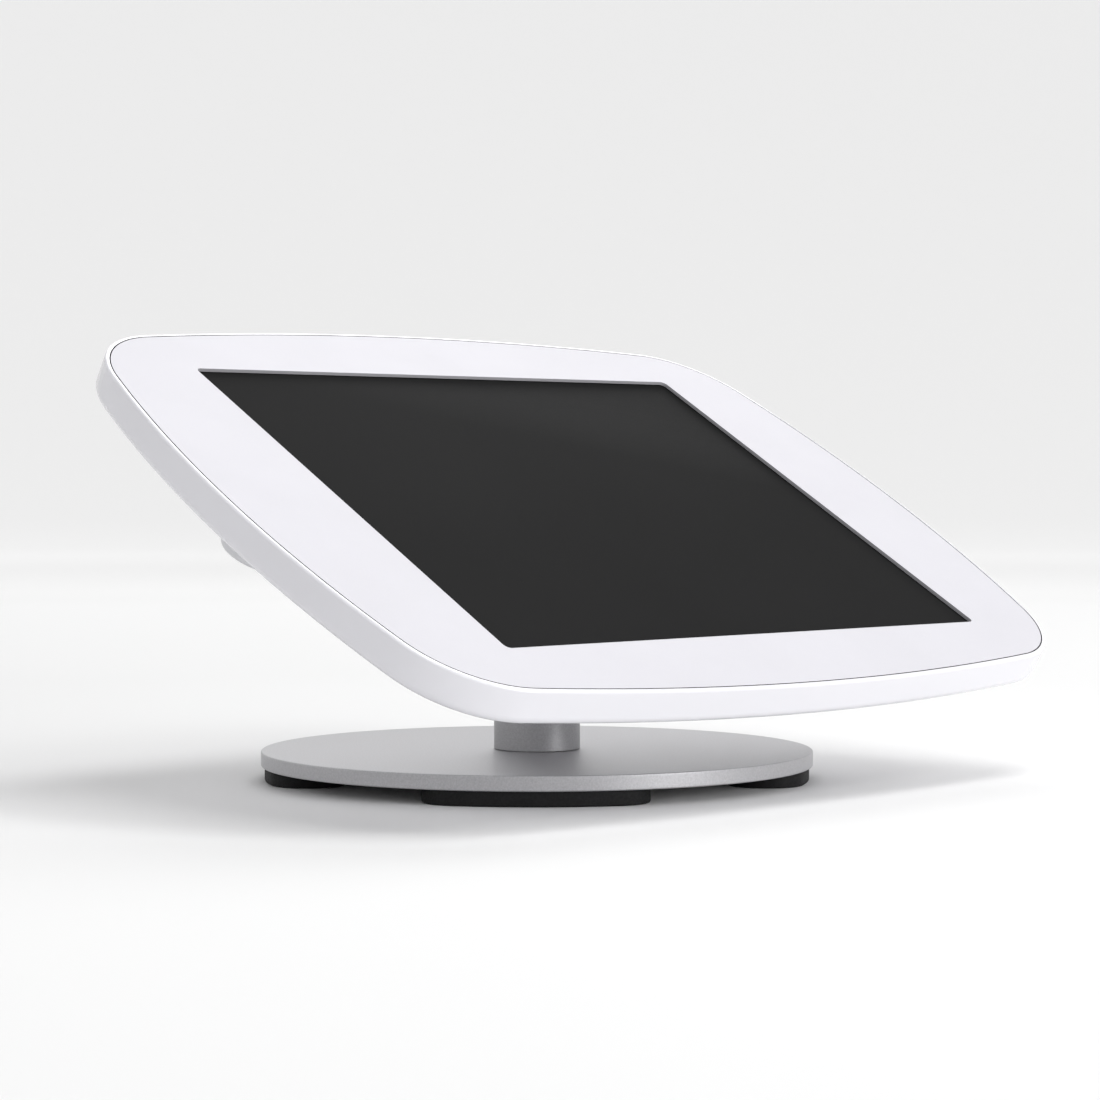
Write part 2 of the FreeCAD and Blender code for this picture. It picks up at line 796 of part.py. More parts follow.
def home_button(extra, low, high):
    return rod(home_button_diameter / 2 + extra, low, high,
               half_tablet_w - home_button_inset, 0)


def port_space(extra):
    """The charging socket's slot, with round ends, in the tablet's right edge."""
    level = (w_display_under + w_tablet_back) / 2
    width = port_width + 2 * extra
    height = port_height + 2 * extra
    slot = rounded_prism(width, height, height / 2 - 0.01, 0, port_depth + over)
    slot.Placement = Placement(Vector(half_tablet_w - port_depth, 0, level),
                               Rotation(Vector(0, 1, 0), Vector(0, 0, 1), Vector(1, 0, 0)))
    return slot


def tablet_shell():
    shell = rounded_prism(tablet_width, tablet_height, tablet_corner, w_tablet_back, w_glass)
    shell = shell.makeFillet(tablet_back_radius, edges_at(shell, w_tablet_back))
    glass_space = rounded_prism(
        tablet_width - 2 * (glass_margin - seat_fit),
        tablet_height - 2 * (glass_margin - seat_fit),
        tablet_corner - glass_margin, w_display_top, w_glass + over)
    hollow = rounded_prism(
        tablet_width - 4 * tablet_wall, tablet_height - 4 * tablet_wall,
        tablet_corner - 2 * tablet_wall, w_tablet_back + tablet_wall, w_display_top + over)
    return on_case(cut_all(shell, [glass_space, hollow, port_space(0)] + button_holes()))


def tablet_glass():
    glass = rounded_prism(tablet_width - 2 * glass_margin, tablet_height - 2 * glass_margin,
                          tablet_corner - glass_margin, w_display_top, w_glass)
    hole = home_button(running_fit, w_display_top - over, w_glass + over)
    return on_case(glass.cut(hole))


def tablet_display():
    return on_case(rounded_prism(display_width + 2 * display_border,
                                 display_height + 2 * display_border, 2.0,
                                 w_display_under, w_display_top))


def tablet_battery():
    """Two flat cells side by side."""
    low = w_tablet_back + tablet_wall
    side_margin, low_margin, high_margin = battery_margins
    near = board_width / 2 + board_gap
    far = half_tablet_w - side_margin
    height = tablet_height - low_margin - high_margin
    middle = (low_margin - high_margin) / 2
    cells = []
    for side in (-1, 1):
        cells.append(rounded_prism(far - near, height, 3, low, low + battery_thickness,
                                   side * (far + near) / 2, middle))
    return on_case(group(cells))


def tablet_board():
    low = w_tablet_back + tablet_wall
    board = rounded_prism(board_width, tablet_height - 2 * board_margin, 1, low,
                          low + board_thickness)
    return on_case(board)


def tablet_speakers():
    low = w_tablet_back + tablet_wall
    boxes = []
    for x in (-1, 1):
        for y in (-1, 1):
            boxes.append(rounded_prism(*speaker_size, 2, low, low + battery_thickness,
                                       x * (half_tablet_w - speaker_inset[0]),
                                       y * (half_tablet_h - speaker_inset[1])))
    return on_case(group(boxes))


def tablet_port():
    """The metal shell of the charging socket."""
    shell = port_space(-seat_fit)
    bore = port_space(-port_wall)
    bore.translate(Vector(port_wall, 0, 0))
    outside = box(half_tablet_w - seat_fit, half_tablet_w + 2 * over, -port_width, port_width,
                  w_tablet_back, w_glass)
    return on_case(shell.cut(bore).cut(outside))


# ---- what holds the tablet in the tray
def block_shelf():
    return w_tablet_back - pad_thickness


def corner_blocks():
    top = w_tablet_back + block_top
    nest = rounded_prism(tablet_width + 2 * assembly_gap, tablet_height + 2 * assembly_gap,
                         tablet_corner + assembly_gap, block_shelf(), top + over)
    room = prism(case_outline(-inner_floor_radius - assembly_gap), w_floor, top)
    blocks = []
    for x in (-1, 1):
        for y in (-1, 1):
            near_u = half_tablet_w - block_leg
            near_v = half_tablet_h - block_leg
            far_u = half_tablet_w + block_wall
            far_v = half_tablet_h + block_wall
            body = box(min(x * near_u, x * far_u), max(x * near_u, x * far_u),
                       min(y * near_v, y * far_v), max(y * near_v, y * far_v),
                       w_floor, top)
            body = body.common(room).cut(nest)
            for place in block_screw_places():
                body = body.cut(rod(m3["size"] / 2 + assembly_gap, w_floor - over, top + over,
                                    place.x, place.y))
                body = body.cut(rod(m3["head"] / 2 + assembly_gap,
                                    top - m3["head_height"], top + over, place.x, place.y))
            blocks.append(body)
    return on_case(group(blocks))


def block_screws():
    top = w_tablet_back + block_top
    length = top - m3["head_height"] - w_back - blind_floor - 0.1
    screws = []
    for place in block_screw_places():
        screw = pan_screw(m3, length)
        screw.rotate(Vector(0, 0, 0), Vector(1, 0, 0), 180)
        screw.translate(place + Vector(0, 0, top - m3["head_height"]))
        screws.append(screw)
    return on_case(group(screws))


def corner_pads():
    pads = []
    inset = block_leg - pad_size / 2 - 1
    for x in (-1, 1):
        for y in (-1, 1):
            pads.append(rounded_prism(pad_size, pad_size, 1, block_shelf(), w_tablet_back,
                                      x * (half_tablet_w - inset),
                                      y * (half_tablet_h - inset)))
    return on_case(group(pads))


def foam_strips():
    strips = []
    for side in (-1, 1):
        strips.append(rounded_prism(strip_width, strip_length, 2, w_floor, w_tablet_back,
                                    side * strip_offset, 0))
    return on_case(group(strips))


# ---- write every piece
def save(name, shape):
    if not shape.isValid():
        raise ValueError(name + " is not a valid shape")
    shape.exportStep("parts/%s.step" % name)


os.makedirs("parts", exist_ok=True)

pieces = {
    "base_plate": base_plate(),
    "foot_screws": foot_screws(),
    "swivel_spigot": swivel_spigot(),
    "spigot_screws": spigot_screws(),
    "stop_washer": stop_washer(),
    "wave_washer": wave_washer(),
    "spigot_nut": spigot_nut(),
    "swivel_hub": swivel_hub(),
    "hub_screws": hub_screws(),
    "lower_bush": lower_bush(),
    "upper_bush": upper_bush(),
    "stand_tube": stand_tube(),
    "mount_flange": mount_flange(),
    "mount_screws": mount_screws(),
    "backing_plate": backing_plate(),
    "cable_grommet": cable_grommet(),
    "case_tray": case_tray(),
    "faceplate": faceplate(),
    "faceplate_hooks": faceplate_hooks(),
    "lock_keeper": lock_keeper(),
    "lock_body": lock_body(),
    "lock_nut": lock_nut(),
    "lock_plug": lock_plug(),
    "lock_cam": lock_cam(),
    "cam_screw": cam_screw(),
    "tablet_shell": tablet_shell(),
    "tablet_glass": tablet_glass(),
    "tablet_display": tablet_display(),
    "tablet_battery": tablet_battery(),
    "tablet_board": tablet_board(),
    "tablet_speakers": tablet_speakers(),
    "tablet_port": tablet_port(),
    "tablet_home_button": on_case(home_button(0, w_display_top, w_glass)),
    "corner_blocks": corner_blocks(),
    "block_screws": block_screws(),
    "corner_pads": corner_pads(),
    "foam_strips": foam_strips(),
}
for number, foot_angle in enumerate(foot_angles(), start=1):
    pieces["rubber_foot_%d" % number] = rubber_foot(foot_angle)
for button, solid in side_buttons(0, button_proud, tablet_wall + button_inside).items():
    pieces[button] = on_case(solid)

for piece, shape in pieces.items():
    save(piece, shape)
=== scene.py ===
import json
import math

import bmesh
import bpy
from mathutils import Euler, Matrix, Vector


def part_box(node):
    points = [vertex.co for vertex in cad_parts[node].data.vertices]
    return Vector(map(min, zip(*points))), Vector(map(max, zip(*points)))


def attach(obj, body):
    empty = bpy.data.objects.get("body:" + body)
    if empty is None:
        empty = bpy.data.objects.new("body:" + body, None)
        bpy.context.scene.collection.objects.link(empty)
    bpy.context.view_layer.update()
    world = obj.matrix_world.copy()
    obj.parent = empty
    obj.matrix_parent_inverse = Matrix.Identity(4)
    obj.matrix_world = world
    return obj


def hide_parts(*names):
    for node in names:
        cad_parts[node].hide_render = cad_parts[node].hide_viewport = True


bl_info = {
    "name": "Tablet Counter Terminal",
    "version": (1, 0, 0),
    "blender": (4, 5, 0),
    "location": "View3D > Sidebar > Terminal",
    "description": "Builds a lockable tablet terminal on a weighted swivel stand",
    "category": "Object",
}

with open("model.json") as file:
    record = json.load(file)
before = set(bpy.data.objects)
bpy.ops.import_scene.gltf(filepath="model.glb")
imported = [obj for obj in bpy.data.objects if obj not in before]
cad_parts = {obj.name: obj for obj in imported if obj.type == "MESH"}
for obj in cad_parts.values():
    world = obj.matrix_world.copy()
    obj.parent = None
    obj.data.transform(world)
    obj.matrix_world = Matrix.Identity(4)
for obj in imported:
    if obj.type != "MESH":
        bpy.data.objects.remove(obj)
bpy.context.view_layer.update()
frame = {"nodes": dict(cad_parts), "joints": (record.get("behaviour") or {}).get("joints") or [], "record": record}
nodes = frame["nodes"]
joints = {joint["name"]: joint for joint in frame["joints"]}

MM = 0.001
WELD = 1e-6
CROWN_SHARE = 0.35

# The backdrop, by distance from the axis plus height, as fractions of BACKDROP_REACH metres.
BACKDROP_REACH = 8.0
# The paper turns darker towards the wall, and the backdrop glows there: painted light that sets how bright the
# backdrop looks.
PAPER_TONES = ((0.0, 0.82), (0.2, 0.80), (0.45, 0.35), (1.0, 0.35))
BACKDROP_GLOW = ((0.08, 0.0), (0.22, 0.15), (0.39, 0.64), (1.0, 0.61))

# Creases sharper than this stay sharp.
CREASE = math.radians(28)

# Sizes inside the object that the frame doesn't give.
FOOT_INSET = 1.5 * MM
FOOT_HALF_DEGREES = 17.13
FOOT_SCREW_DEGREES = 10.0
FOOT_SCREW_SEAT = 3.0 * MM
FOOT_HEAD_HOLE = 4.3 * MM
THREAD_HOLE = 2.02 * MM
SPIGOT_HOLE = 12.52 * MM
SPIGOT_SCREW_CIRCLE = 19.5 * MM
FLANGE_PLATE = 4 * MM
COLLAR_SOCKET = 8 * MM
MOUNT_HOLE = 2.3 * MM
LOCK_BORE = 6.05 * MM
LOCK_BARREL = 8.0 * MM
LOCK_HOLE = 8.02 * MM
BLOCK_SCREW_INSET = 2.8 * MM
BLOCK_SCREW_HEAD = 1.8 * MM

# The case has its own frame: u along the width, v up the slope, w out of the front face,
# w = 0 on the front face. The faceplate's hinge line and the lock's axis give it.
hinge = Vector(joints["faceplate_lift"]["pos_m"])
up_slope = Vector(joints["faceplate_lift"]["axis"]).normalized()
face_normal = -Vector(joints["lock_turn"]["axis"]).normalized()
across = up_slope.cross(face_normal)
case_frame = Matrix((across, up_slope, face_normal)).transposed().to_4x4()
case_frame.translation = Vector((0.0, hinge.y, hinge.z))
tilt = math.acos(face_normal.z)


def in_case(point):
    """A point of the row frame, in the case's frame."""
    return case_frame.inverted() @ Vector(point)


def case_span(node):
    """The lowest and highest corner of a CAD node, in the case's frame."""
    points = [in_case(v.co) for v in nodes[node].data.vertices]
    low = Vector([min(p[axis] for p in points) for axis in range(3)])
    high = Vector([max(p[axis] for p in points) for axis in range(3)])
    return low, high


lock_place = in_case(joints["lock_turn"]["pos_m"])
tray_low = case_span("case_tray")[0]
plate_low, plate_high = case_span("faceplate")
flange_low, flange_high = case_span("mount_flange")
lock_low, lock_high = case_span("lock_body")
base_low, base_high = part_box("base_plate")
tube_low, tube_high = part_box("stand_tube")
tube_radius = tube_high.x


# ---- sizes and colours that a user may change
class TerminalSizes(bpy.types.PropertyGroup):
    """Sizes of the visible shell, in metres."""

    seam_gap: bpy.props.FloatProperty(
        name="Seam gap", description="Gap between the faceplate and the rim",
        default=0.4 * MM, unit="LENGTH", precision=5)
    rim_width: bpy.props.FloatProperty(
        name="Rim width", description="Width of the rim outside the seam",
        default=2.0 * MM, unit="LENGTH", precision=5)
    rim_edge: bpy.props.FloatProperty(
        name="Rim edge", description="Radius of the rim's front edge",
        default=1.0 * MM, unit="LENGTH", precision=5)
    back_edge: bpy.props.FloatProperty(
        name="Back edge", description="Radius of the edge round the back of the case",
        default=4.0 * MM, unit="LENGTH", precision=5)
    side_bow: bpy.props.FloatProperty(
        name="Side bow", description="Radius of the bowed left and right sides",
        default=450 * MM, unit="LENGTH")
    top_bow: bpy.props.FloatProperty(
        name="Top bow", description="Radius of the bowed upper and lower sides",
        default=1200 * MM, unit="LENGTH")
    case_corner: bpy.props.FloatProperty(
        name="Case corner", description="Radius of the case's corners at the seam",
        default=42 * MM, unit="LENGTH")
    tray_wall: bpy.props.FloatProperty(
        name="Tray wall", description="Wall and floor of the case",
        default=2.0 * MM, unit="LENGTH", precision=5)
    ledge_width: bpy.props.FloatProperty(
        name="Ledge width", description="Shelf that the faceplate rests on",
        default=5.0 * MM, unit="LENGTH", precision=5)
    ledge_thickness: bpy.props.FloatProperty(
        name="Ledge thickness", description="Thickness of that shelf",
        default=2.0 * MM, unit="LENGTH", precision=5)
    window_width: bpy.props.FloatProperty(
        name="Window width", description="Width of the opening over the screen",
        default=266.8 * MM, unit="LENGTH")
    window_height: bpy.props.FloatProperty(
        name="Window height", description="Height of the opening over the screen",
        default=200.9 * MM, unit="LENGTH")
    window_corner: bpy.props.FloatProperty(
        name="Window corner", description="Radius of the opening's corners",
        default=2.5 * MM, unit="LENGTH", precision=5)
    tube_wall: bpy.props.FloatProperty(
        name="Tube wall", description="Wall of the stand tube",
        default=2.0 * MM, unit="LENGTH", precision=5)
    bend_radius: bpy.props.FloatProperty(
        name="Bend radius", description="Radius of the tube's bend at its middle line",
        default=60 * MM, unit="LENGTH")
    mount_pitch: bpy.props.FloatProperty(
        name="Mount pitch", description="Spacing of the four mounting screws",
        default=75 * MM, unit="LENGTH")
    foot_width: bpy.props.FloatProperty(
        name="Foot width", description="Radial width of a rubber foot",
        default=30.5 * MM, unit="LENGTH")


class TerminalColours(bpy.types.PropertyGroup):
    """Base colours of the finishes."""

    gloss_white: bpy.props.FloatVectorProperty(
        name="Case", description="Glossy white of the case", subtype="COLOR",
        size=3, min=0, max=1, default=(0.725, 0.72, 0.757))
    matt_white: bpy.props.FloatVectorProperty(
        name="Faceplate", description="Matt white of the faceplate", subtype="COLOR",
        size=3, min=0, max=1, default=(0.58, 0.573, 0.609))
    silver: bpy.props.FloatVectorProperty(
        name="Stand", description="Satin silver of the plate and the tube", subtype="COLOR",
        size=3, min=0, max=1, default=(0.455, 0.452, 0.466))
    screen_black: bpy.props.FloatVectorProperty(
        name="Screen", description="Black of the switched-off screen", subtype="COLOR",
        size=3, min=0, max=1, default=(0.0155, 0.0155, 0.0157))
    rubber_black: bpy.props.FloatVectorProperty(
        name="Feet", description="Black of the rubber feet", subtype="COLOR",
        size=3, min=0, max=1, default=(0.008, 0.008, 0.0085))


class TerminalStage(bpy.types.PropertyGroup):
    """Where the camera stands and its lens."""

    heading: bpy.props.FloatProperty(
        name="Heading", description="Camera's side: 0 is the front, negative is the left",
        default=math.radians(-45.0), subtype="ANGLE")
    distance: bpy.props.FloatProperty(
        name="Distance", description="From the swivel axis to the camera",
        default=1.2425, unit="LENGTH")
    sideways: bpy.props.FloatProperty(
        name="Sideways", description="Camera's step to its right",
        default=0.0053, unit="LENGTH", precision=5)
    height: bpy.props.FloatProperty(
        name="Height", description="Camera's height over the counter",
        default=0.1254, unit="LENGTH", precision=5)
    look_down: bpy.props.FloatProperty(
        name="Look down", description="Camera's tilt below the horizon",
        default=math.radians(1.5), subtype="ANGLE")
    lens: bpy.props.FloatProperty(
        name="Lens", description="Focal length in millimetres", default=100.0,
        unit="CAMERA")


def sizes():
    return bpy.context.scene.terminal_sizes


def colours():
    return bpy.context.scene.terminal_colours


# ---- finishes
def shader_tree(name):
    """A new material, its node tree and its principled shader."""
    material = bpy.data.materials.new(name)
    material.use_nodes = True
    tree = material.node_tree
    return material, tree, tree.nodes["Principled BSDF"]


def object_noise(tree, scale, detail=3.0, stretch=(1.0, 1.0, 1.0)):
    """Noise in object coordinates; returns the node."""
    coordinates = tree.nodes.new("ShaderNodeTexCoord")
    mapping = tree.nodes.new("ShaderNodeMapping")
    mapping.inputs["Scale"].default_value = stretch
    noise = tree.nodes.new("ShaderNodeTexNoise")
    noise.inputs["Scale"].default_value = scale
    noise.inputs["Detail"].default_value = detail
    tree.links.new(coordinates.outputs["Object"], mapping.inputs["Vector"])
    tree.links.new(mapping.outputs["Vector"], noise.inputs["Vector"])
    return noise


def colour_between(tree, factor, dark, light, low, high):
    """A colour that runs from dark to light as the factor goes from low to high."""
    ramp = tree.nodes.new("ShaderNodeValToRGB")
    ramp.color_ramp.elements[0].position = low
    ramp.color_ramp.elements[0].color = (*dark, 1.0)
    ramp.color_ramp.elements[1].position = high
    ramp.color_ramp.elements[1].color = (*light, 1.0)
    tree.links.new(factor, ramp.inputs["Fac"])
    return ramp.outputs["Color"]


def value_between(tree, factor, low_value, high_value, low=0.3, high=0.7):
    """A number that runs from low_value to high_value as the factor goes up."""
    span = tree.nodes.new("ShaderNodeMapRange")
    span.inputs["From Min"].default_value = low
    span.inputs["From Max"].default_value = high
    span.inputs["To Min"].default_value = low_value
    span.inputs["To Max"].default_value = high_value
    tree.links.new(factor, span.inputs["Value"])
    return span.outputs["Result"]


def bump(tree, shader, height, distance, strength=1.0):
    node = tree.nodes.new("ShaderNodeBump")
    node.inputs["Strength"].default_value = strength
    node.inputs["Distance"].default_value = distance
    tree.links.new(height, node.inputs["Height"])
    tree.links.new(node.outputs["Normal"], shader.inputs["Normal"])


def shade(colour, factor):
    return tuple(min(1.0, channel * factor) for channel in colour)


def finish(name, colour, roughness, metallic=0.0, spread=0.06, grain=900.0,
           relief=0.00002, specular=0.5, coat=0.0, stretch=(1.0, 1.0, 1.0)):
    """A finish with slow tone changes, fine grain and a rough-smooth variation."""
    material, tree, shader = shader_tree(name)
    slow = object_noise(tree, 14.0, 4.0)
    fine = object_noise(tree, grain, 2.0, stretch)
    tone = colour_between(tree, slow.outputs["Fac"], shade(colour, 1.0 - spread),
                          shade(colour, 1.0 + spread), 0.3, 0.7)
    tree.links.new(tone, shader.inputs["Base Color"])
    rough = value_between(tree, fine.outputs["Fac"], max(0.02, roughness * 0.85),
                          min(1.0, roughness * 1.15))
    tree.links.new(rough, shader.inputs["Roughness"])
    bump(tree, shader, fine.outputs["Fac"], relief)
    shader.inputs["Metallic"].default_value = metallic
    shader.inputs["Specular IOR Level"].default_value = specular
    shader.inputs["Coat Weight"].default_value = coat
    shader.inputs["Coat Roughness"].default_value = 0.05
    return material


def gloss_white_finish():
    """Moulded gloss white with a slight ripple in its surface."""
    material, tree, shader = shader_tree("case gloss white")
    base = tuple(colours().gloss_white)
    slow = object_noise(tree, 9.0, 2.0)
    ripple = object_noise(tree, 60.0, 1.0)
    tone = colour_between(tree, slow.outputs["Fac"], shade(base, 0.985), shade(base, 1.01),
                          0.3, 0.7)
    tree.links.new(tone, shader.inputs["Base Color"])
    rough = value_between(tree, slow.outputs["Fac"], 0.10, 0.16)
    tree.links.new(rough, shader.inputs["Roughness"])
    bump(tree, shader, ripple.outputs["Fac"], 0.00001)
    shader.inputs["Coat Weight"].default_value = 0.3
    shader.inputs["Coat Roughness"].default_value = 0.04
    return material


def matt_white_finish():
    """Fine powder coat: a slight orange-peel, with faint cloudy tone."""
    material, tree, shader = shader_tree("faceplate matt white")
    base = tuple(colours().matt_white)
    cloud = object_noise(tree, 22.0, 5.0)
    peel = object_noise(tree, 1400.0, 2.0)
    tone = colour_between(tree, cloud.outputs["Fac"], shade(base, 0.985), shade(base, 1.012),
                          0.35, 0.65)
    tree.links.new(tone, shader.inputs["Base Color"])
    rough = value_between(tree, peel.outputs["Fac"], 0.52, 0.64)
    tree.links.new(rough, shader.inputs["Roughness"])
    bump(tree, shader, peel.outputs["Fac"], 0.000015)
    shader.inputs["Specular IOR Level"].default_value = 0.35
    return material


def silver_finish(name, factor=1.0):
    """Satin metallic powder coat: flakes a fraction of a millimetre across."""
    material, tree, shader = shader_tree(name)
    # A factor below 1 gives a darker copy of the silver: painted shade.
    base = shade(tuple(colours().silver), factor)
    coordinates = tree.nodes.new("ShaderNodeTexCoord")
    flakes = tree.nodes.new("ShaderNodeTexVoronoi")
    flakes.inputs["Scale"].default_value = 1800.0
    tree.links.new(coordinates.outputs["Object"], flakes.inputs["Vector"])
    grain = object_noise(tree, 1500.0, 2.0)
    tone = colour_between(tree, grain.outputs["Fac"], shade(base, 0.90), shade(base, 1.08),
                          0.3, 0.7)
    tree.links.new(tone, shader.inputs["Base Color"])
    rough = value_between(tree, flakes.outputs["Distance"], 0.36, 0.46, 0.0, 0.8)
    tree.links.new(rough, shader.inputs["Roughness"])
    bump(tree, shader, grain.outputs["Fac"], 0.00001)
    shader.inputs["Metallic"].default_value = 0.55
    return material


def rubber_finish():
    """Black moulded rubber with a fine matt grain."""
    return finish("foot rubber", tuple(colours().rubber_black), 0.72, spread=0.18,
                  grain=1200.0, relief=0.00005, specular=0.25)


def screen_finish():
    """Switched-off screen behind matt anti-glare glass."""
    material, tree, shader = shader_tree("screen glass")
    base = tuple(colours().screen_black)
    cloud = object_noise(tree, 6.0, 2.0)
    fine = object_noise(tree, 2600.0, 1.0)
    tone = colour_between(tree, cloud.outputs["Fac"], shade(base, 0.94), shade(base, 1.05),
                          0.35, 0.65)
    tree.links.new(tone, shader.inputs["Base Color"])
    rough = value_between(tree, fine.outputs["Fac"], 0.42, 0.50)
    tree.links.new(rough, shader.inputs["Roughness"])
    bump(tree, shader, fine.outputs["Fac"], 0.000004)
    shader.inputs["Specular IOR Level"].default_value = 0.004
    return material


def seam_painted_shade():
    """Very dark grey for the faces inside the seam: painted shade of the narrow gap, not a colour of the moulding.
    """
    return finish("seam painted shade", (0.03, 0.03, 0.032), 0.8, spread=0.12, grain=1500.0,
                  relief=0.00003, specular=0.2)


def window_edge_painted_shade():
    """Edge of the window, painted greyer than the face: painted shade on the window's walls."""
    return finish("window edge painted shade", shade(tuple(colours().matt_white), 0.6), 0.6,
                  spread=0.04, grain=1500.0, relief=0.00001, specular=0.3)


def brushed_finish(name, colour, roughness=0.34):
    """Turned or rolled steel with fine lines."""
    return finish(name, colour, roughness, metallic=0.9, spread=0.05, grain=500.0,
                  relief=0.00002, stretch=(1.0, 1.0, 8.0))


def blasted_finish(name, colour):
    """Fine blasted anodised aluminium."""
    return finish(name, colour, 0.42, metallic=0.85, spread=0.03, grain=2600.0,
                  relief=0.00001)


def zinc_finish():
    """Bright zinc plating on the screws, slightly cloudy."""
    return finish("zinc plate", (0.56, 0.57, 0.60), 0.30, metallic=0.95, spread=0.12,
                  grain=300.0, relief=0.00001)


def moulded_finish(name, colour, roughness=0.5):
    """Moulded plastic with a fine spark-eroded texture."""
    return finish(name, colour, roughness, spread=0.05, grain=1500.0, relief=0.00003)


def foam_finish():
    """Closed-cell foam with visible cells."""
    material, tree, shader = shader_tree("foam")
    coordinates = tree.nodes.new("ShaderNodeTexCoord")
    cells = tree.nodes.new("ShaderNodeTexVoronoi")
    cells.inputs["Scale"].default_value = 1100.0
    tree.links.new(coordinates.outputs["Object"], cells.inputs["Vector"])
    tone = colour_between(tree, cells.outputs["Distance"], (0.018, 0.018, 0.019),
                          (0.05, 0.05, 0.052), 0.05, 0.6)
    tree.links.new(tone, shader.inputs["Base Color"])
    bump(tree, shader, cells.outputs["Distance"], 0.00015)
    shader.inputs["Roughness"].default_value = 0.9
    return material


def board_finish():
    """Green circuit laminate with copper tracks under the mask."""
    material, tree, shader = shader_tree("circuit laminate")
    coordinates = tree.nodes.new("ShaderNodeTexCoord")
    tracks = tree.nodes.new("ShaderNodeTexVoronoi")
    tracks.distance = "CHEBYCHEV"
    tracks.feature = "F1"
    tracks.inputs["Scale"].default_value = 260.0
    tree.links.new(coordinates.outputs["Object"], tracks.inputs["Vector"])
    tone = colour_between(tree, tracks.outputs["Distance"], (0.10, 0.20, 0.07),
                          (0.012, 0.075, 0.035), 0.08, 0.16)
    tree.links.new(tone, shader.inputs["Base Color"])
    shader.inputs["Roughness"].default_value = 0.35
    return material


# ---- mesh building
def rounded_path(corners, steps=6, hold=0.25 * MM, closed=True):
    """Points along a path of (x, y, radius) corners. Each round corner is an arc, with a
    holding point before and after it that keeps the flats beside it flat."""
    points = []
    count = len(corners)
    for index, (x, y, radius) in enumerate(corners):
        here = Vector((x, y))
        at_end = not closed and index in (0, count - 1)
        if at_end or radius <= 0.0:
            points.append(here)
            continue
        before = Vector(corners[index - 1][:2]) - here
        after = Vector(corners[(index + 1) % count][:2]) - here
        reach_before, reach_after = before.length, after.length
        before.normalize()
        after.normalize()
        half = before.angle(after) / 2
        tangent = radius / math.tan(half)
        centre = here + (before + after).normalized() * (radius / math.sin(half))
        if tangent + hold < reach_before * 0.5:
            points.append(here + before * (tangent + hold))
        start = here + before * tangent - centre
        sweep = start.angle_signed(here + after * tangent - centre)
        for step in range(steps + 1):
            turn = Matrix.Rotation(-sweep * step / steps, 2)
            points.append(centre + turn @ start)
        if tangent + hold < reach_after * 0.5:
            points.append(here + after * (tangent + hold))
    return points


def add_ring(mesh, points):
    return [mesh.verts.new(point) for point in points]


def bridge(mesh, first, second):
    count = len(first)
    for index in range(count):
        after = (index + 1) % count
        mesh.faces.new((first[index], first[after], second[after], second[index]))


def loft(mesh, rings, closed=False):
    """Faces between rings of points; returns the rings of vertices."""
    made = [add_ring(mesh, ring) for ring in rings]
    pairs = list(zip(made, made[1:]))
    if closed:
        pairs.append((made[-1], made[0]))
    for first, second in pairs:
        bridge(mesh, first, second)
    return made


def fill_flat(mesh, loops):
    """A flat face between an outer loop and the loops of its holes."""
    edges = []
    for loop in loops:
        for index, vertex in enumerate(loop):
            after = loop[(index + 1) % len(loop)]
            edge = mesh.edges.get((vertex, after)) or mesh.edges.new((vertex, after))
            edges.append(edge)
    bmesh.ops.triangle_fill(mesh, edges=edges, use_beauty=True, normal=(0, 0, 1))


def circle(radius, z, centre=(0.0, 0.0), count=48):
    turns = [2 * math.pi * index / count for index in range(count)]
    return [Vector((centre[0] + radius * math.cos(t), centre[1] + radius * math.sin(t), z))
            for t in turns]


def lathe(mesh, profile, centre=(0.0, 0.0), count=96, closed=True):
    """A turned shape from (radius, z) points."""
    rings = [circle(radius, z, centre, count) for radius, z in profile]
    return loft(mesh, rings, closed)


def hole(mesh, radius, low, high, centre, count=48):
    """The wall of a round hole; returns its lower and upper loops."""
    rings = loft(mesh, [circle(radius, low, centre, count),
                        circle(radius, high, centre, count)])
    return rings[0], rings[1]


def finished_mesh(name, mesh, place=None, crease=CREASE):
    """A mesh object from a bmesh: welded, facing outwards, smooth but for its creases."""
    bmesh.ops.remove_doubles(mesh, verts=mesh.verts, dist=1e-7)
    bmesh.ops.recalc_face_normals(mesh, faces=mesh.faces)
    data = bpy.data.meshes.new(name)
    mesh.to_mesh(data)
    mesh.free()
    if place is not None:
        data.transform(place)
    return shown(name, data, crease)


def shown(name, data, crease=CREASE):
    """Links a mesh to the scene, smooth but for its creases."""
    data.shade_smooth()
    data.set_sharp_from_angle(angle=crease)
    piece = bpy.data.objects.new(name, data)
    bpy.context.scene.collection.objects.link(piece)
    return piece


def fit_piece(piece, material, node, body):
    """Gives a piece its finish, its body and the CAD node that it stands for."""
    if not piece.data.materials:
        piece.data.materials.append(material)
    piece.data.materials[0] = material
    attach(piece, body)
    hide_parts(node)


def second_finish(piece, material, chosen):
    """Gives some faces another finish. chosen(centre, normal) says which, in the case's
    frame."""
    piece.data.materials.append(material)
    turn = case_frame.inverted().to_3x3()
    for face in piece.data.polygons:
        if chosen(in_case(face.center), turn @ face.normal):
            face.material_index = len(piece.data.materials) - 1


def body_of(node):
    for name, members in frame["record"]["behaviour"]["bodies"].items():
        if node in members:
            return name
    raise ValueError("no body for " + node)


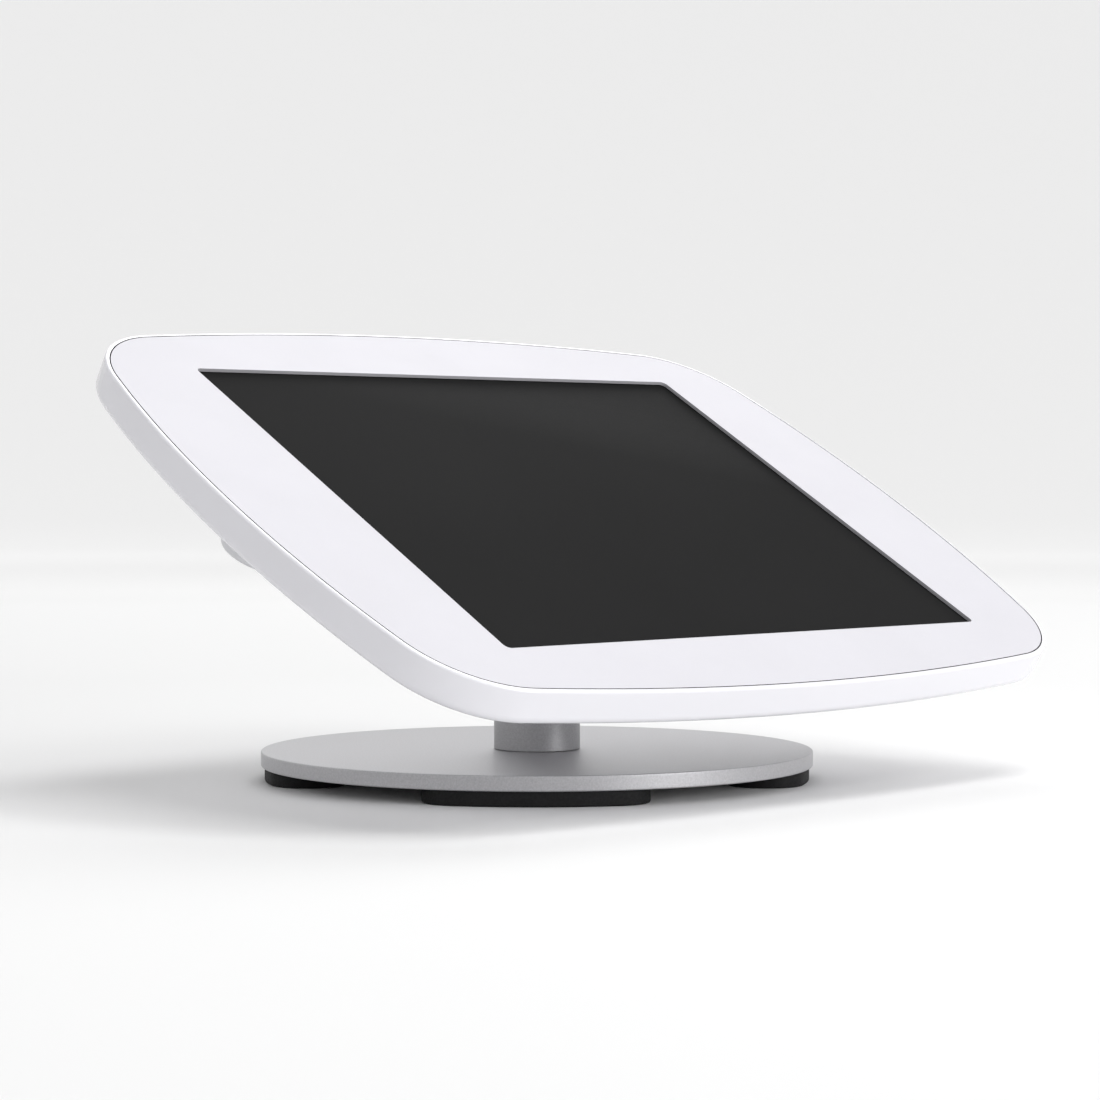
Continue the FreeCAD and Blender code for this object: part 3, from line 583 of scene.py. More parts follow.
# ---- outlines in the case's plane
def case_arcs():
    """Centre, radius and angles of the arcs of one quarter of the seam's outline."""
    half_width = hinge.x + sizes().seam_gap / 2
    half_height = plate_high.y + sizes().seam_gap / 2
    side = Vector((half_width - sizes().side_bow, 0.0))
    top = Vector((0.0, half_height - sizes().top_bow))
    side_reach = sizes().side_bow - sizes().case_corner
    top_reach = sizes().top_bow - sizes().case_corner
    span = top - side
    along = (side_reach ** 2 - top_reach ** 2 + span.length_squared) / (2 * span.length)
    aside = math.sqrt(side_reach ** 2 - along ** 2)
    unit = span.normalized()
    corner = side + unit * along + Vector((-unit.y, unit.x)) * aside
    low = math.atan2(corner.y - side.y, corner.x - side.x)
    high = math.atan2(corner.y - top.y, corner.x - top.x)
    return side, top, corner, low, high


def case_loop(offset, z):
    """The seam's outline, moved outwards by offset, as a closed loop."""
    side, top, corner, low, high = case_arcs()
    quarter = []
    for centre, radius, start, end, steps in (
            (side, sizes().side_bow, 0.0, low, 14),
            (corner, sizes().case_corner, low, high, 26),
            (top, sizes().top_bow, high, math.pi / 2, 18)):
        for step in range(steps):
            turn = start + (end - start) * step / steps
            quarter.append(centre + Vector((math.cos(turn), math.sin(turn)))
                           * (radius + offset))
    quarter.append(Vector((0.0, top.y + sizes().top_bow + offset)))
    upper = quarter + [Vector((-p.x, p.y)) for p in reversed(quarter[:-1])]
    lower = [Vector((p.x, -p.y)) for p in reversed(upper[1:-1])]
    return [Vector((p.x, p.y, z)) for p in upper + lower]


def rounded_loop(width, height, corner, offset, z, steps=8):
    """A rounded rectangle, moved outwards by offset, as a closed loop."""
    radius = max(corner + offset, 0.05 * MM)
    points = []
    for quarter in range(4):
        centre_x = (width / 2 - corner) * (1 if quarter in (0, 3) else -1)
        centre_y = (height / 2 - corner) * (1 if quarter in (0, 1) else -1)
        for step in range(steps + 1):
            turn = math.pi / 2 * (quarter + step / steps)
            points.append(Vector((centre_x + radius * math.cos(turn),
                                  centre_y + radius * math.sin(turn), z)))
    return points


# ---- counter base
def build_base_plate():
    low, high = base_low.z, base_high.z
    radius = base_high.x
    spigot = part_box("swivel_spigot")
    recess = spigot[1].x + 0.3 * MM
    bore = SPIGOT_HOLE
    recess_top = low + 2.5 * MM
    edge = 0.5 * MM
    profile = rounded_path([
        (bore, recess_top, 0.0), (recess, recess_top, 0.0), (recess, low, 0.2 * MM),
        (radius, low, edge), (radius, high, edge), (bore, high, 0.1 * MM),
    ])
    mesh = bmesh.new()
    lathe(mesh, [(p.x, p.y) for p in profile], count=256)
    piece = finished_mesh("round_base_plate", mesh)
    fit_piece(piece, silver_finish("plate silver"), "base_plate", "base")


def foot_loop(angle, arc_half, mean_radius, half_width, offset, z):
    """A curved pad's outline with full round ends."""
    grown = half_width + offset
    arc_steps, end_steps = 24, 20
    points = []
    for step in range(arc_steps + 1):
        turn = angle - arc_half + 2 * arc_half * step / arc_steps
        points.append(Vector((math.cos(turn), math.sin(turn))) * (mean_radius + grown))
    end = Vector((math.cos(angle + arc_half), math.sin(angle + arc_half))) * mean_radius
    for step in range(1, end_steps):
        turn = angle + arc_half + math.pi * step / end_steps
        points.append(end + Vector((math.cos(turn), math.sin(turn))) * grown)
    for step in range(arc_steps + 1):
        turn = angle + arc_half - 2 * arc_half * step / arc_steps
        points.append(Vector((math.cos(turn), math.sin(turn))) * (mean_radius - grown))
    end = Vector((math.cos(angle - arc_half), math.sin(angle - arc_half))) * mean_radius
    for step in range(1, end_steps):
        turn = angle - arc_half + math.pi * (1 + step / end_steps)
        points.append(end + Vector((math.cos(turn), math.sin(turn))) * grown)
    return [Vector((p.x, p.y, z)) for p in points]


def build_feet():
    material = rubber_finish()
    half_width = sizes().foot_width / 2
    mean_radius = base_high.x - FOOT_INSET - half_width
    arc_half = math.radians(FOOT_HALF_DEGREES)
    top = base_low.z
    screw_turn = math.radians(FOOT_SCREW_DEGREES)
    for number in range(1, 5):
        angle = math.radians(45.0 + 90.0 * (number - 1))
        mesh = bmesh.new()
        profile = rounded_path([
            (-4 * MM, 0.0, 0.0), (0.0, 0.0, 0.8 * MM), (0.0, top, 0.25 * MM),
            (-4 * MM, top, 0.0),
        ], closed=False)
        rings = loft(mesh, [foot_loop(angle, arc_half, mean_radius, half_width, p.x, p.y)
                            for p in profile])
        under, over = [rings[0]], [rings[-1]]
        for side in (-1, 1):
            turn = angle + side * screw_turn
            place = (mean_radius * math.cos(turn), mean_radius * math.sin(turn))
            wide_low, wide_high = hole(mesh, FOOT_HEAD_HOLE, 0.0, FOOT_SCREW_SEAT, place)
            thin_low, thin_high = hole(mesh, THREAD_HOLE, FOOT_SCREW_SEAT, top, place)
            bridge(mesh, wide_high, thin_low)
            under.append(wide_low)
            over.append(thin_high)
        fill_flat(mesh, under)
        fill_flat(mesh, over)
        node = "rubber_foot_%d" % number
        fit_piece(finished_mesh("foot_pad_%d" % number, mesh), material, node, "base")


# ---- geometry node trees
def new_tree(name, inputs):
    """A geometry node group with named number inputs and a material input."""
    tree = bpy.data.node_groups.new(name, "GeometryNodeTree")
    tree.interface.new_socket("Geometry", in_out="OUTPUT", socket_type="NodeSocketGeometry")
    tree.interface.new_socket("Geometry", in_out="INPUT", socket_type="NodeSocketGeometry")
    for label, value in inputs.items():
        socket = tree.interface.new_socket(label, in_out="INPUT",
                                           socket_type="NodeSocketFloat")
        socket.default_value = value
    tree.interface.new_socket("Material", in_out="INPUT", socket_type="NodeSocketMaterial")
    start = tree.nodes.new("NodeGroupInput")
    end = tree.nodes.new("NodeGroupOutput")
    return tree, start, end


def close_tree(tree, start, end, geometry):
    """Welds the shape, then Realize Instances, Set Material and the output."""
    weld = tree.nodes.new("GeometryNodeMergeByDistance")
    weld.inputs["Distance"].default_value = WELD
    realize = tree.nodes.new("GeometryNodeRealizeInstances")
    paint = tree.nodes.new("GeometryNodeSetMaterial")
    tree.links.new(geometry, realize.inputs["Geometry"])
    tree.links.new(realize.outputs["Geometry"], weld.inputs["Geometry"])
    tree.links.new(weld.outputs["Geometry"], paint.inputs["Geometry"])
    tree.links.new(start.outputs["Material"], paint.inputs["Material"])
    tree.links.new(paint.outputs["Geometry"], end.inputs["Geometry"])


def math_node(tree, operation, first, second):
    node = tree.nodes.new("ShaderNodeMath")
    node.operation = operation
    for socket, value in zip(node.inputs, (first, second)):
        if isinstance(value, (int, float)):
            socket.default_value = value
        else:
            tree.links.new(value, socket)
    return node.outputs["Value"]


def along_z(tree, value):
    node = tree.nodes.new("ShaderNodeCombineXYZ")
    tree.links.new(value, node.inputs["Z"])
    return node.outputs["Vector"]


def frustum(tree, low_radius, high_radius, base, depth, count):
    """A cone frustum that stands on z = base."""
    cone = tree.nodes.new("GeometryNodeMeshCone")
    cone.inputs["Vertices"].default_value = count
    tree.links.new(low_radius, cone.inputs["Radius Bottom"])
    tree.links.new(high_radius, cone.inputs["Radius Top"])
    tree.links.new(depth, cone.inputs["Depth"])
    shift = tree.nodes.new("GeometryNodeTransform")
    tree.links.new(cone.outputs["Mesh"], shift.inputs["Geometry"])
    tree.links.new(along_z(tree, base), shift.inputs["Translation"])
    return shift.outputs["Geometry"]


def boolean(tree, operation, base, others):
    node = tree.nodes.new("GeometryNodeMeshBoolean")
    node.operation = operation
    node.solver = "EXACT"
    if operation == "DIFFERENCE":
        tree.links.new(base, node.inputs["Mesh 1"])
    for other in others if operation == "DIFFERENCE" else [base] + others:
        tree.links.new(other, node.inputs["Mesh 2"])
    return node.outputs["Mesh"]


def screw_tree():
    """A socket screw on each point of the mesh. The head's seat is at the point, the head
    hangs below it and the shank stands above it; Turn flips the screw over. The crown's
    cone overshoots the head by a fifth of its height at each end, so no faces coincide."""
    tree, start, end = new_tree("socket screws", {
        "Head Radius": 4.0 * MM, "Head Height": 2.4 * MM, "Crown Radius": 3.3 * MM,
        "Shank Radius": 2.0 * MM, "Length": 8.0 * MM, "Socket Radius": 1.44 * MM,
        "Turn": 0.0,
    })
    value = start.outputs
    height = value["Head Height"]
    bottom = math_node(tree, "MULTIPLY", height, -1.0)
    drum = frustum(tree, value["Head Radius"], value["Head Radius"], bottom, height, 32)
    flare = math_node(tree, "SUBTRACT", value["Head Radius"], value["Crown Radius"])
    cone_low = math_node(tree, "SUBTRACT", value["Crown Radius"],
                         math_node(tree, "MULTIPLY", flare, 0.2 / CROWN_SHARE))
    cone_high = math_node(tree, "ADD", value["Crown Radius"],
                          math_node(tree, "MULTIPLY", flare, 1.2 / CROWN_SHARE))
    cone = frustum(tree, cone_low, cone_high, math_node(tree, "MULTIPLY", height, -1.2),
                   math_node(tree, "MULTIPLY", height, 1.4), 32)
    head = boolean(tree, "INTERSECT", drum, [cone])
    root = math_node(tree, "MULTIPLY", height, -0.3)
    shank_length = math_node(tree, "SUBTRACT", value["Length"], root)
    shank = frustum(tree, value["Shank Radius"], value["Shank Radius"], root, shank_length,
                    24)
    socket_base = math_node(tree, "MULTIPLY", height, -1.45)
    socket = frustum(tree, value["Socket Radius"], value["Socket Radius"], socket_base,
                     height, 6)
    screw = boolean(tree, "DIFFERENCE", boolean(tree, "UNION", head, [shank]), [socket])
    turn = tree.nodes.new("ShaderNodeCombineXYZ")
    tree.links.new(value["Turn"], turn.inputs["X"])
    copies = tree.nodes.new("GeometryNodeInstanceOnPoints")
    tree.links.new(value["Geometry"], copies.inputs["Points"])
    tree.links.new(screw, copies.inputs["Instance"])
    tree.links.new(turn.outputs["Vector"], copies.inputs["Rotation"])
    close_tree(tree, start, end, copies.outputs["Instances"])
    return tree


def flat_screw_tree():
    """A countersunk socket screw on each point: its flat head is flush with the point."""
    tree, start, end = new_tree("countersunk screws", {
        "Head Radius": 3.8 * MM, "Head Height": 2.0 * MM, "Shank Radius": 2.0 * MM,
        "Length": 4.9 * MM, "Socket Radius": 1.44 * MM,
    })
    value = start.outputs
    zero = math_node(tree, "MULTIPLY", value["Head Height"], 0.0)
    head = frustum(tree, value["Head Radius"], value["Shank Radius"], zero,
                   value["Head Height"], 32)
    root = math_node(tree, "MULTIPLY", value["Head Height"], 0.5)
    shank_length = math_node(tree, "SUBTRACT", value["Length"], root)
    slimmer = math_node(tree, "MULTIPLY", value["Shank Radius"], 0.999)
    shank = frustum(tree, slimmer, slimmer, root, shank_length, 24)
    whole = boolean(tree, "UNION", head, [shank])
    socket_base = math_node(tree, "MULTIPLY", value["Head Height"], -0.5)
    socket = frustum(tree, value["Socket Radius"], value["Socket Radius"], socket_base,
                     value["Head Height"], 6)
    screw = boolean(tree, "DIFFERENCE", whole, [socket])
    copies = tree.nodes.new("GeometryNodeInstanceOnPoints")
    tree.links.new(value["Geometry"], copies.inputs["Points"])
    tree.links.new(screw, copies.inputs["Instance"])
    close_tree(tree, start, end, copies.outputs["Instances"])
    return tree


def tube_tree(screw_angles, screw_height, screw_radius):
    """A hollow tube along the curve, with a cross hole for each grub screw."""
    tree, start, end = new_tree("bent tube", {
        "Outer Radius": 17.5 * MM, "Wall": 2.0 * MM, "Overrun": 2.0 * MM})
    value = start.outputs

    def sweep(path, radius):
        section = tree.nodes.new("GeometryNodeCurvePrimitiveCircle")
        section.inputs["Resolution"].default_value = 96
        tree.links.new(radius, section.inputs["Radius"])
        swept = tree.nodes.new("GeometryNodeCurveToMesh")
        swept.inputs["Fill Caps"].default_value = True
        tree.links.new(path, swept.inputs["Curve"])
        tree.links.new(section.outputs["Curve"], swept.inputs["Profile Curve"])
        return swept.outputs["Mesh"]

    longer = value["Geometry"]
    for at_start, sign in ((1, -1.0), (0, 1.0)):
        tip = tree.nodes.new("GeometryNodeCurveEndpointSelection")
        tip.inputs["Start Size"].default_value = at_start
        tip.inputs["End Size"].default_value = 1 - at_start
        tangent = tree.nodes.new("GeometryNodeInputTangent")
        step = tree.nodes.new("ShaderNodeVectorMath")
        step.operation = "SCALE"
        reach = math_node(tree, "MULTIPLY", value["Overrun"], sign)
        tree.links.new(tangent.outputs["Tangent"], step.inputs[0])
        tree.links.new(reach, step.inputs["Scale"])
        move = tree.nodes.new("GeometryNodeSetPosition")
        tree.links.new(longer, move.inputs["Geometry"])
        tree.links.new(tip.outputs["Selection"], move.inputs["Selection"])
        tree.links.new(step.outputs["Vector"], move.inputs["Offset"])
        longer = move.outputs["Geometry"]
    inner = math_node(tree, "SUBTRACT", value["Outer Radius"], value["Wall"])
    tools = [sweep(longer, inner)]
    drill_length = 8 * MM
    wall_middle = 1 * MM
    for angle in screw_angles:
        cylinder = tree.nodes.new("GeometryNodeMeshCylinder")
        cylinder.inputs["Vertices"].default_value = 32
        cylinder.inputs["Radius"].default_value = screw_radius
        cylinder.inputs["Depth"].default_value = drill_length
        drill = tree.nodes.new("GeometryNodeTransform")
        reach = tube_radius - wall_middle
        drill.inputs["Translation"].default_value = (
            reach * math.cos(angle), reach * math.sin(angle), screw_height)
        drill.inputs["Rotation"].default_value = (0.0, math.pi / 2, angle)
        tree.links.new(cylinder.outputs["Mesh"], drill.inputs["Geometry"])
        tools.append(drill.outputs["Geometry"])
    tube = boolean(tree, "DIFFERENCE", sweep(value["Geometry"], value["Outer Radius"]),
                   tools)
    close_tree(tree, start, end, tube)
    return tree


def grown(name, source, tree, material, values, place=None, crease=CREASE):
    """Runs a node tree on an object and keeps the result as a plain mesh object."""
    modifier = source.modifiers.new("grow", "NODES")
    modifier.node_group = tree
    keys = {item.name: item.identifier for item in tree.interface.items_tree
            if item.in_out == "INPUT"}
    for label, value in values.items():
        modifier[keys[label]] = value
    modifier[keys["Material"]] = material
    source.update_tag()
    graph = bpy.context.evaluated_depsgraph_get()
    graph.update()
    data = bpy.data.meshes.new_from_object(source.evaluated_get(graph), depsgraph=graph)
    source.modifiers.remove(modifier)
    bpy.data.objects.remove(source)
    if not data.polygons:
        raise ValueError(name + " came out empty")
    if place is not None:
        data.transform(place)
    data.name = name
    return shown(name, data, crease)


def points_object(name, points):
    data = bpy.data.meshes.new(name)
    data.from_pydata([tuple(p) for p in points], [], [])
    source = bpy.data.objects.new(name, data)
    bpy.context.scene.collection.objects.link(source)
    return source


# ---- stand tube and flange
def tube_path():
    """Up the swivel axis, round the bend and along the case's normal to the flange."""
    bend = sizes().bend_radius
    tangent = bend * math.tan(tilt / 2)
    crossing = case_frame.translation.z - case_frame.translation.y / face_normal.y \
        * face_normal.z
    start = crossing - tangent
    end_w = flange_low.z + COLLAR_SOCKET
    points = [Vector((0, 0, tube_low.z + (start - tube_low.z) * step / 4))
              for step in range(4)]
    for step in range(33):
        turn = tilt * step / 32
        points.append(Vector((0, bend * (math.cos(turn) - 1), start + bend * math.sin(turn))))
    last = points[-1]
    goal = case_frame @ Vector((0, 0, end_w))
    goal = last + face_normal * (goal - last).dot(face_normal)
    points += [last.lerp(goal, step / 4) for step in range(1, 5)]
    return points


def build_stand_tube():
    curve = bpy.data.curves.new("tube_path", "CURVE")
    curve.dimensions = "3D"
    points = tube_path()
    spline = curve.splines.new("POLY")
    spline.points.add(len(points) - 1)
    for target, point in zip(spline.points, points):
        target.co = (*point, 1.0)
    source = bpy.data.objects.new("tube_path", curve)
    bpy.context.scene.collection.objects.link(source)
    screws_low, screws_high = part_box("hub_screws")
    height = (screws_low.z + screws_high.z) / 2
    tree = tube_tree((math.radians(60), math.radians(120)), height, THREAD_HOLE)
    # The tube's silver is painted at 0.84 of the plate's: painted shade from the case above it.
    material = silver_finish("tube silver in painted shade", 0.84)
    piece = grown("bent_stand_tube", source, tree, material,
                  {"Outer Radius": tube_radius, "Wall": sizes().tube_wall})
    fit_piece(piece, material, "stand_tube", "turret")


def mount_corners(z):
    half = sizes().mount_pitch / 2
    return [Vector((x, y, z)) for x in (-half, half) for y in (-half, half)]


def build_mount_flange():
    """Square plate with four screw holes, and a collar with a weld bead round the tube."""
    side = flange_high.x - flange_low.x
    plate_back = flange_high.z - FLANGE_PLATE
    corner = 10 * MM
    mesh = bmesh.new()
    profile = rounded_path([
        (-3 * MM, plate_back, 0.0), (0.0, plate_back, 0.6 * MM),
        (0.0, flange_high.z, 0.3 * MM), (-3 * MM, flange_high.z, 0.0)], closed=False)
    rings = loft(mesh, [rounded_loop(side, side, corner, p.x, p.y) for p in profile])
    under, over = [rings[0]], [rings[-1]]
    for place in mount_corners(0.0):
        low, high = hole(mesh, MOUNT_HOLE, plate_back, flange_high.z, (place.x, place.y))
        under.append(low)
        over.append(high)
    bore = tube_radius - sizes().tube_wall
    socket_end = flange_low.z + COLLAR_SOCKET
    collar = rounded_path([
        (tube_radius + 0.02 * MM, socket_end, 0.0),
        (tube_radius + 0.02 * MM, flange_low.z, 0.2 * MM),
        (tube_radius + 2 * MM, flange_low.z, 0.6 * MM),
        (tube_radius + 3.2 * MM, plate_back - 1.6 * MM, 1.5 * MM),
        (tube_radius + 5.2 * MM, plate_back, 0.0)], closed=False)
    turned = lathe(mesh, [(p.x, p.y) for p in collar], closed=False)
    inner = lathe(mesh, [(bore, socket_end), (bore, flange_high.z)], closed=False)
    bridge(mesh, turned[0], inner[0])
    under.append(turned[-1])
    over.append(inner[-1])
    fill_flat(mesh, under)
    fill_flat(mesh, over)
    piece = finished_mesh("square_mount_flange", mesh, case_frame)
    # The flange's silver is painted at 0.9 of the plate's: painted shade under the case.
    fit_piece(piece, silver_finish("flange silver in painted shade", 0.9), "mount_flange", "turret")


# ---- case
def build_case_tray():
    """One moulded tray: back, wall, rim and the ledge that the faceplate rests on."""
    wall = sizes().tray_wall
    rim = sizes().rim_width
    gap = sizes().seam_gap / 2
    back = tray_low.z
    floor = back + wall
    shelf = plate_low.z
    shelf_under = shelf - sizes().ledge_thickness
    ledge = -sizes().ledge_width
    inside = -7 * MM
    profile = rounded_path([
        (inside, back, 0.0), (rim, back, sizes().back_edge), (rim, 0.0, sizes().rim_edge),
        (gap, 0.0, 0.1 * MM), (gap, shelf, 0.0), (ledge, shelf, 0.3 * MM),
        (ledge, shelf_under, 0.3 * MM), (0.0, shelf_under, 0.0),
        (0.0, floor, 1.5 * MM), (inside, floor, 0.0)], steps=8, closed=False)
    mesh = bmesh.new()
    rings = loft(mesh, [case_loop(p.x, p.y) for p in profile])
    under, over = [rings[0]], [rings[-1]]
    cable = tube_radius - sizes().tube_wall - 1.5 * MM
    holes = [(cable, (0.0, 0.0)), (LOCK_HOLE, (lock_place.x, lock_place.y))]
    holes += [(MOUNT_HOLE, (p.x, p.y)) for p in mount_corners(0.0)]
    for radius, place in holes:
        low, high = hole(mesh, radius, back, floor, place)
        under.append(low)
        over.append(high)
    fill_flat(mesh, under)
    fill_flat(mesh, over)
    piece = finished_mesh("gloss_case_tray", mesh, case_frame)
    fit_piece(piece, gloss_white_finish(), "case_tray", "turret")

    # The seam's inward walls and the shelf get the very dark grey: painted shade in the gap.
    def in_seam(centre, normal):
        facing_in = normal.x * centre.x + normal.y * centre.y < 0
        on_wall = abs(normal.z) < 0.8 and facing_in and centre.z > shelf
        on_shelf = normal.z > 0.9 and abs(centre.z - shelf) < 0.1 * MM
        return on_wall or on_shelf

    second_finish(piece, seam_painted_shade(), in_seam)


def build_faceplate():
    gap = -sizes().seam_gap / 2
    low = plate_low.z
    mesh = bmesh.new()
    outer_profile = rounded_path([
        (gap - 3 * MM, 0.0, 0.0), (gap, 0.0, 0.1 * MM), (gap, low, 0.1 * MM),
        (gap - 3 * MM, low, 0.0)], closed=False)
    outer = loft(mesh, [case_loop(p.x, p.y) for p in outer_profile])
    window_profile = rounded_path([
        (3 * MM, 0.0, 0.0), (0.0, 0.0, 0.12 * MM), (0.0, low, 0.1 * MM),
        (3 * MM, low, 0.0)], closed=False)
    window = loft(mesh, [
        rounded_loop(sizes().window_width, sizes().window_height, sizes().window_corner,
                     p.x, p.y) for p in window_profile])
    fill_flat(mesh, [outer[0], window[0]])
    fill_flat(mesh, [outer[-1], window[-1]])
    piece = finished_mesh("matt_faceplate", mesh, case_frame)
    fit_piece(piece, matt_white_finish(), "faceplate", "faceplate")

    def at_window(centre):
        return abs(centre.x) < sizes().window_width / 2 + 1 * MM \
            and abs(centre.y) < sizes().window_height / 2 + 1 * MM

    def on_rim_edge(centre, normal):
        return abs(normal.z) < 0.8 and not at_window(centre)

    def on_window_edge(centre, normal):
        return abs(normal.z) < 0.5 and at_window(centre)

    # The faceplate's outer edge gets the same very dark grey: painted shade in the seam.
    second_finish(piece, seam_painted_shade(), on_rim_edge)
    # The window's walls get the greyer white: painted shade.
    second_finish(piece, window_edge_painted_shade(), on_window_edge)


# ---- lock
def build_lock_body():
    """Round head with a stepped face, and the barrel through the tray."""
    radius = lock_high.x - lock_place.x
    face = lock_low.z
    back = tray_low.z
    bore = LOCK_BORE
    profile = rounded_path([
        (bore, face + 0.5 * MM, 0.2 * MM), (bore + 1.6 * MM, face + 0.5 * MM, 0.1 * MM),
        (bore + 2.1 * MM, face, 0.2 * MM), (radius, face, 1.2 * MM), (radius, back, 0.2 * MM),
        (LOCK_BARREL, back, 0.0), (LOCK_BARREL, lock_high.z, 0.3 * MM),
        (bore, lock_high.z, 0.2 * MM)])
    mesh = bmesh.new()
    lathe(mesh, [(p.x, p.y) for p in profile], (lock_place.x, lock_place.y))
    piece = finished_mesh("round_lock_head", mesh, case_frame)
    material = finish("lock head enamel", (0.62, 0.62, 0.64), 0.38, spread=0.04,
                      grain=1200.0, relief=0.00001)
    fit_piece(piece, material, "lock_body", "turret")


# ---- CAD nodes that keep their shape
def smooth_copy(node, name, material, crease=math.radians(30)):
    """A welded copy of a CAD node, shaded smooth but for its creases."""
    mesh = bmesh.new()
    mesh.from_mesh(nodes[node].data)
    bmesh.ops.remove_doubles(mesh, verts=mesh.verts, dist=1e-6)
    data = bpy.data.meshes.new(name)
    mesh.to_mesh(data)
    mesh.free()
    fit_piece(shown(name, data, crease), material, node, body_of(node))


def build_swivel_parts():
    turned = brushed_finish("turned steel", (0.56, 0.57, 0.59))
    acetal = moulded_finish("natural acetal", (0.78, 0.78, 0.75), 0.42)
    smooth_copy("swivel_spigot", "turned_spigot", turned)
    smooth_copy("stop_washer", "tabbed_stop_washer", turned)
    smooth_copy("spigot_nut", "slotted_spigot_nut", turned)
    smooth_copy("wave_washer", "spring_wave_washer",
                brushed_finish("spring steel", (0.42, 0.43, 0.45), 0.28))
    smooth_copy("swivel_hub", "turned_hub", blasted_finish("hub aluminium", (0.70, 0.71, 0.73)))
    smooth_copy("lower_bush", "lower_flanged_bush", acetal)
    smooth_copy("upper_bush", "upper_flanged_bush", acetal)


def build_lock_parts():
    sheet = brushed_finish("zinc sheet", (0.60, 0.61, 0.63))
    barrel = brushed_finish("lock steel", (0.62, 0.63, 0.65), 0.25)
    smooth_copy("lock_plug", "keyed_lock_plug", barrel)
    smooth_copy("lock_nut", "hex_lock_nut", zinc_finish())
    smooth_copy("lock_cam", "lock_cam_arm", sheet)
    smooth_copy("lock_keeper", "keeper_strap", sheet)
    smooth_copy("faceplate_hooks", "sheet_hooks", sheet)
    smooth_copy("backing_plate", "backing_sheet", sheet)


def build_tablet():
    shell = blasted_finish("tablet aluminium", (0.60, 0.61, 0.63))
    black = moulded_finish("module black", (0.025, 0.025, 0.027), 0.55)
    smooth_copy("tablet_shell", "tablet_body_shell", shell)
    smooth_copy("tablet_glass", "screen_glass", screen_finish())
    smooth_copy("tablet_display", "display_module", black)
    smooth_copy("tablet_battery", "battery_cells",
                moulded_finish("cell film", (0.07, 0.07, 0.078), 0.3))
    smooth_copy("tablet_board", "logic_board", board_finish())
    smooth_copy("tablet_speakers", "speaker_boxes", black)
    smooth_copy("tablet_port", "charging_socket",
                brushed_finish("socket steel", (0.66, 0.66, 0.68), 0.22))
    key = moulded_finish("home key", (0.03, 0.03, 0.032), 0.4)
    smooth_copy("tablet_home_button", "home_key_cap", key)
    for name in ("power", "volume_up", "volume_down"):
        smooth_copy("tablet_%s_button" % name, name + "_key_cap", shell)


def build_holders():
    foam = foam_finish()
    smooth_copy("corner_blocks", "corner_nests",
                moulded_finish("block plastic", (0.05, 0.05, 0.053), 0.6))
    smooth_copy("corner_pads", "corner_foam_pads", foam)
    smooth_copy("foam_strips", "back_foam_strips", foam)
    smooth_copy("cable_grommet", "rubber_grommet",
                finish("grommet rubber", (0.02, 0.02, 0.02), 0.6, spread=0.15,
                       grain=1400.0, relief=0.00004))


# ---- screws
def foot_screw_points():
    mean_radius = base_high.x - FOOT_INSET - sizes().foot_width / 2
    points = []
    for number in range(4):
        for side in (-FOOT_SCREW_DEGREES, FOOT_SCREW_DEGREES):
            turn = math.radians(45 + 90 * number + side)
            points.append((mean_radius * math.cos(turn), mean_radius * math.sin(turn),
                           FOOT_SCREW_SEAT))
    return points


def spigot_screw_points():
    turns = [math.radians(45 + 90 * number) for number in range(4)]
    return [(SPIGOT_SCREW_CIRCLE * math.cos(t), SPIGOT_SCREW_CIRCLE * math.sin(t), base_low.z)
            for t in turns]


def block_screw_points():
    low, high = case_span("block_screws")
    inset = BLOCK_SCREW_INSET
    seat = high.z - BLOCK_SCREW_HEAD
    return [(x, y, seat) for x in (low.x + inset, high.x - inset)
            for y in (low.y + inset, high.y - inset)]


def build_screws():
    zinc = zinc_finish()
    socket = screw_tree()
    m4 = {"Head Radius": 4.0 * MM, "Head Height": 2.4 * MM, "Crown Radius": 3.3 * MM,
          "Shank Radius": 2.0 * MM, "Socket Radius": 1.44 * MM}
    m3 = {"Head Radius": 2.8 * MM, "Head Height": 1.8 * MM, "Crown Radius": 2.3 * MM,
          "Shank Radius": 1.5 * MM, "Socket Radius": 1.15 * MM}
    jobs = (
        ("foot_screws", foot_screw_points(), dict(m4, Length=7.9 * MM), None),
        ("mount_screws", mount_corners(flange_high.z - FLANGE_PLATE),
         dict(m4, Length=8 * MM), case_frame),
        ("block_screws", block_screw_points(), dict(m3, Length=8.6 * MM, Turn=math.pi),
         case_frame),
        ("cam_screw", [(lock_place.x, lock_place.y, case_span("lock_cam")[1].z)],
         dict(m3, Length=3.5 * MM, Turn=math.pi), case_frame),
    )
    for node, points, values, place in jobs:
        source = points_object(node + "_points", points)
        piece = grown(node + "_socket_heads", source, socket, zinc, values, place)
        fit_piece(piece, zinc, node, body_of(node))
    source = points_object("spigot_screw_points", spigot_screw_points())
    piece = grown("spigot_screws_countersunk", source, flat_screw_tree(), zinc, {})
    fit_piece(piece, zinc, "spigot_screws", "base")
    smooth_copy("hub_screws", "hub_grub_screws", zinc)


# ---- stage
def bowl_profile():
    """Flat floor that turns up far away, so that no horizon shows."""
    flat, wall, turn = 3.0, 5.5, 2.5
    points = [(0.02, 0.0), (0.5, 0.0), (flat, 0.0)]
    for step in range(1, 17):
        angle = math.pi / 2 * step / 16
        points.append((flat + turn * math.sin(angle), turn * (1 - math.cos(angle))))
    points.append((flat + turn, wall))
    return points


def stops(tree, factor, rows, blend):
    """A grey ramp with a stop for each (place, grey) row."""
    ramp = tree.nodes.new("ShaderNodeValToRGB")
    ramp.color_ramp.interpolation = blend
    elements = ramp.color_ramp.elements
    while len(elements) < len(rows):
        elements.new(0.5)
    for element, (place, grey) in zip(elements, rows):
        element.position = place
        element.color = (grey, grey, grey, 1.0)
    tree.links.new(factor, ramp.inputs["Fac"])
    return ramp.outputs["Color"]


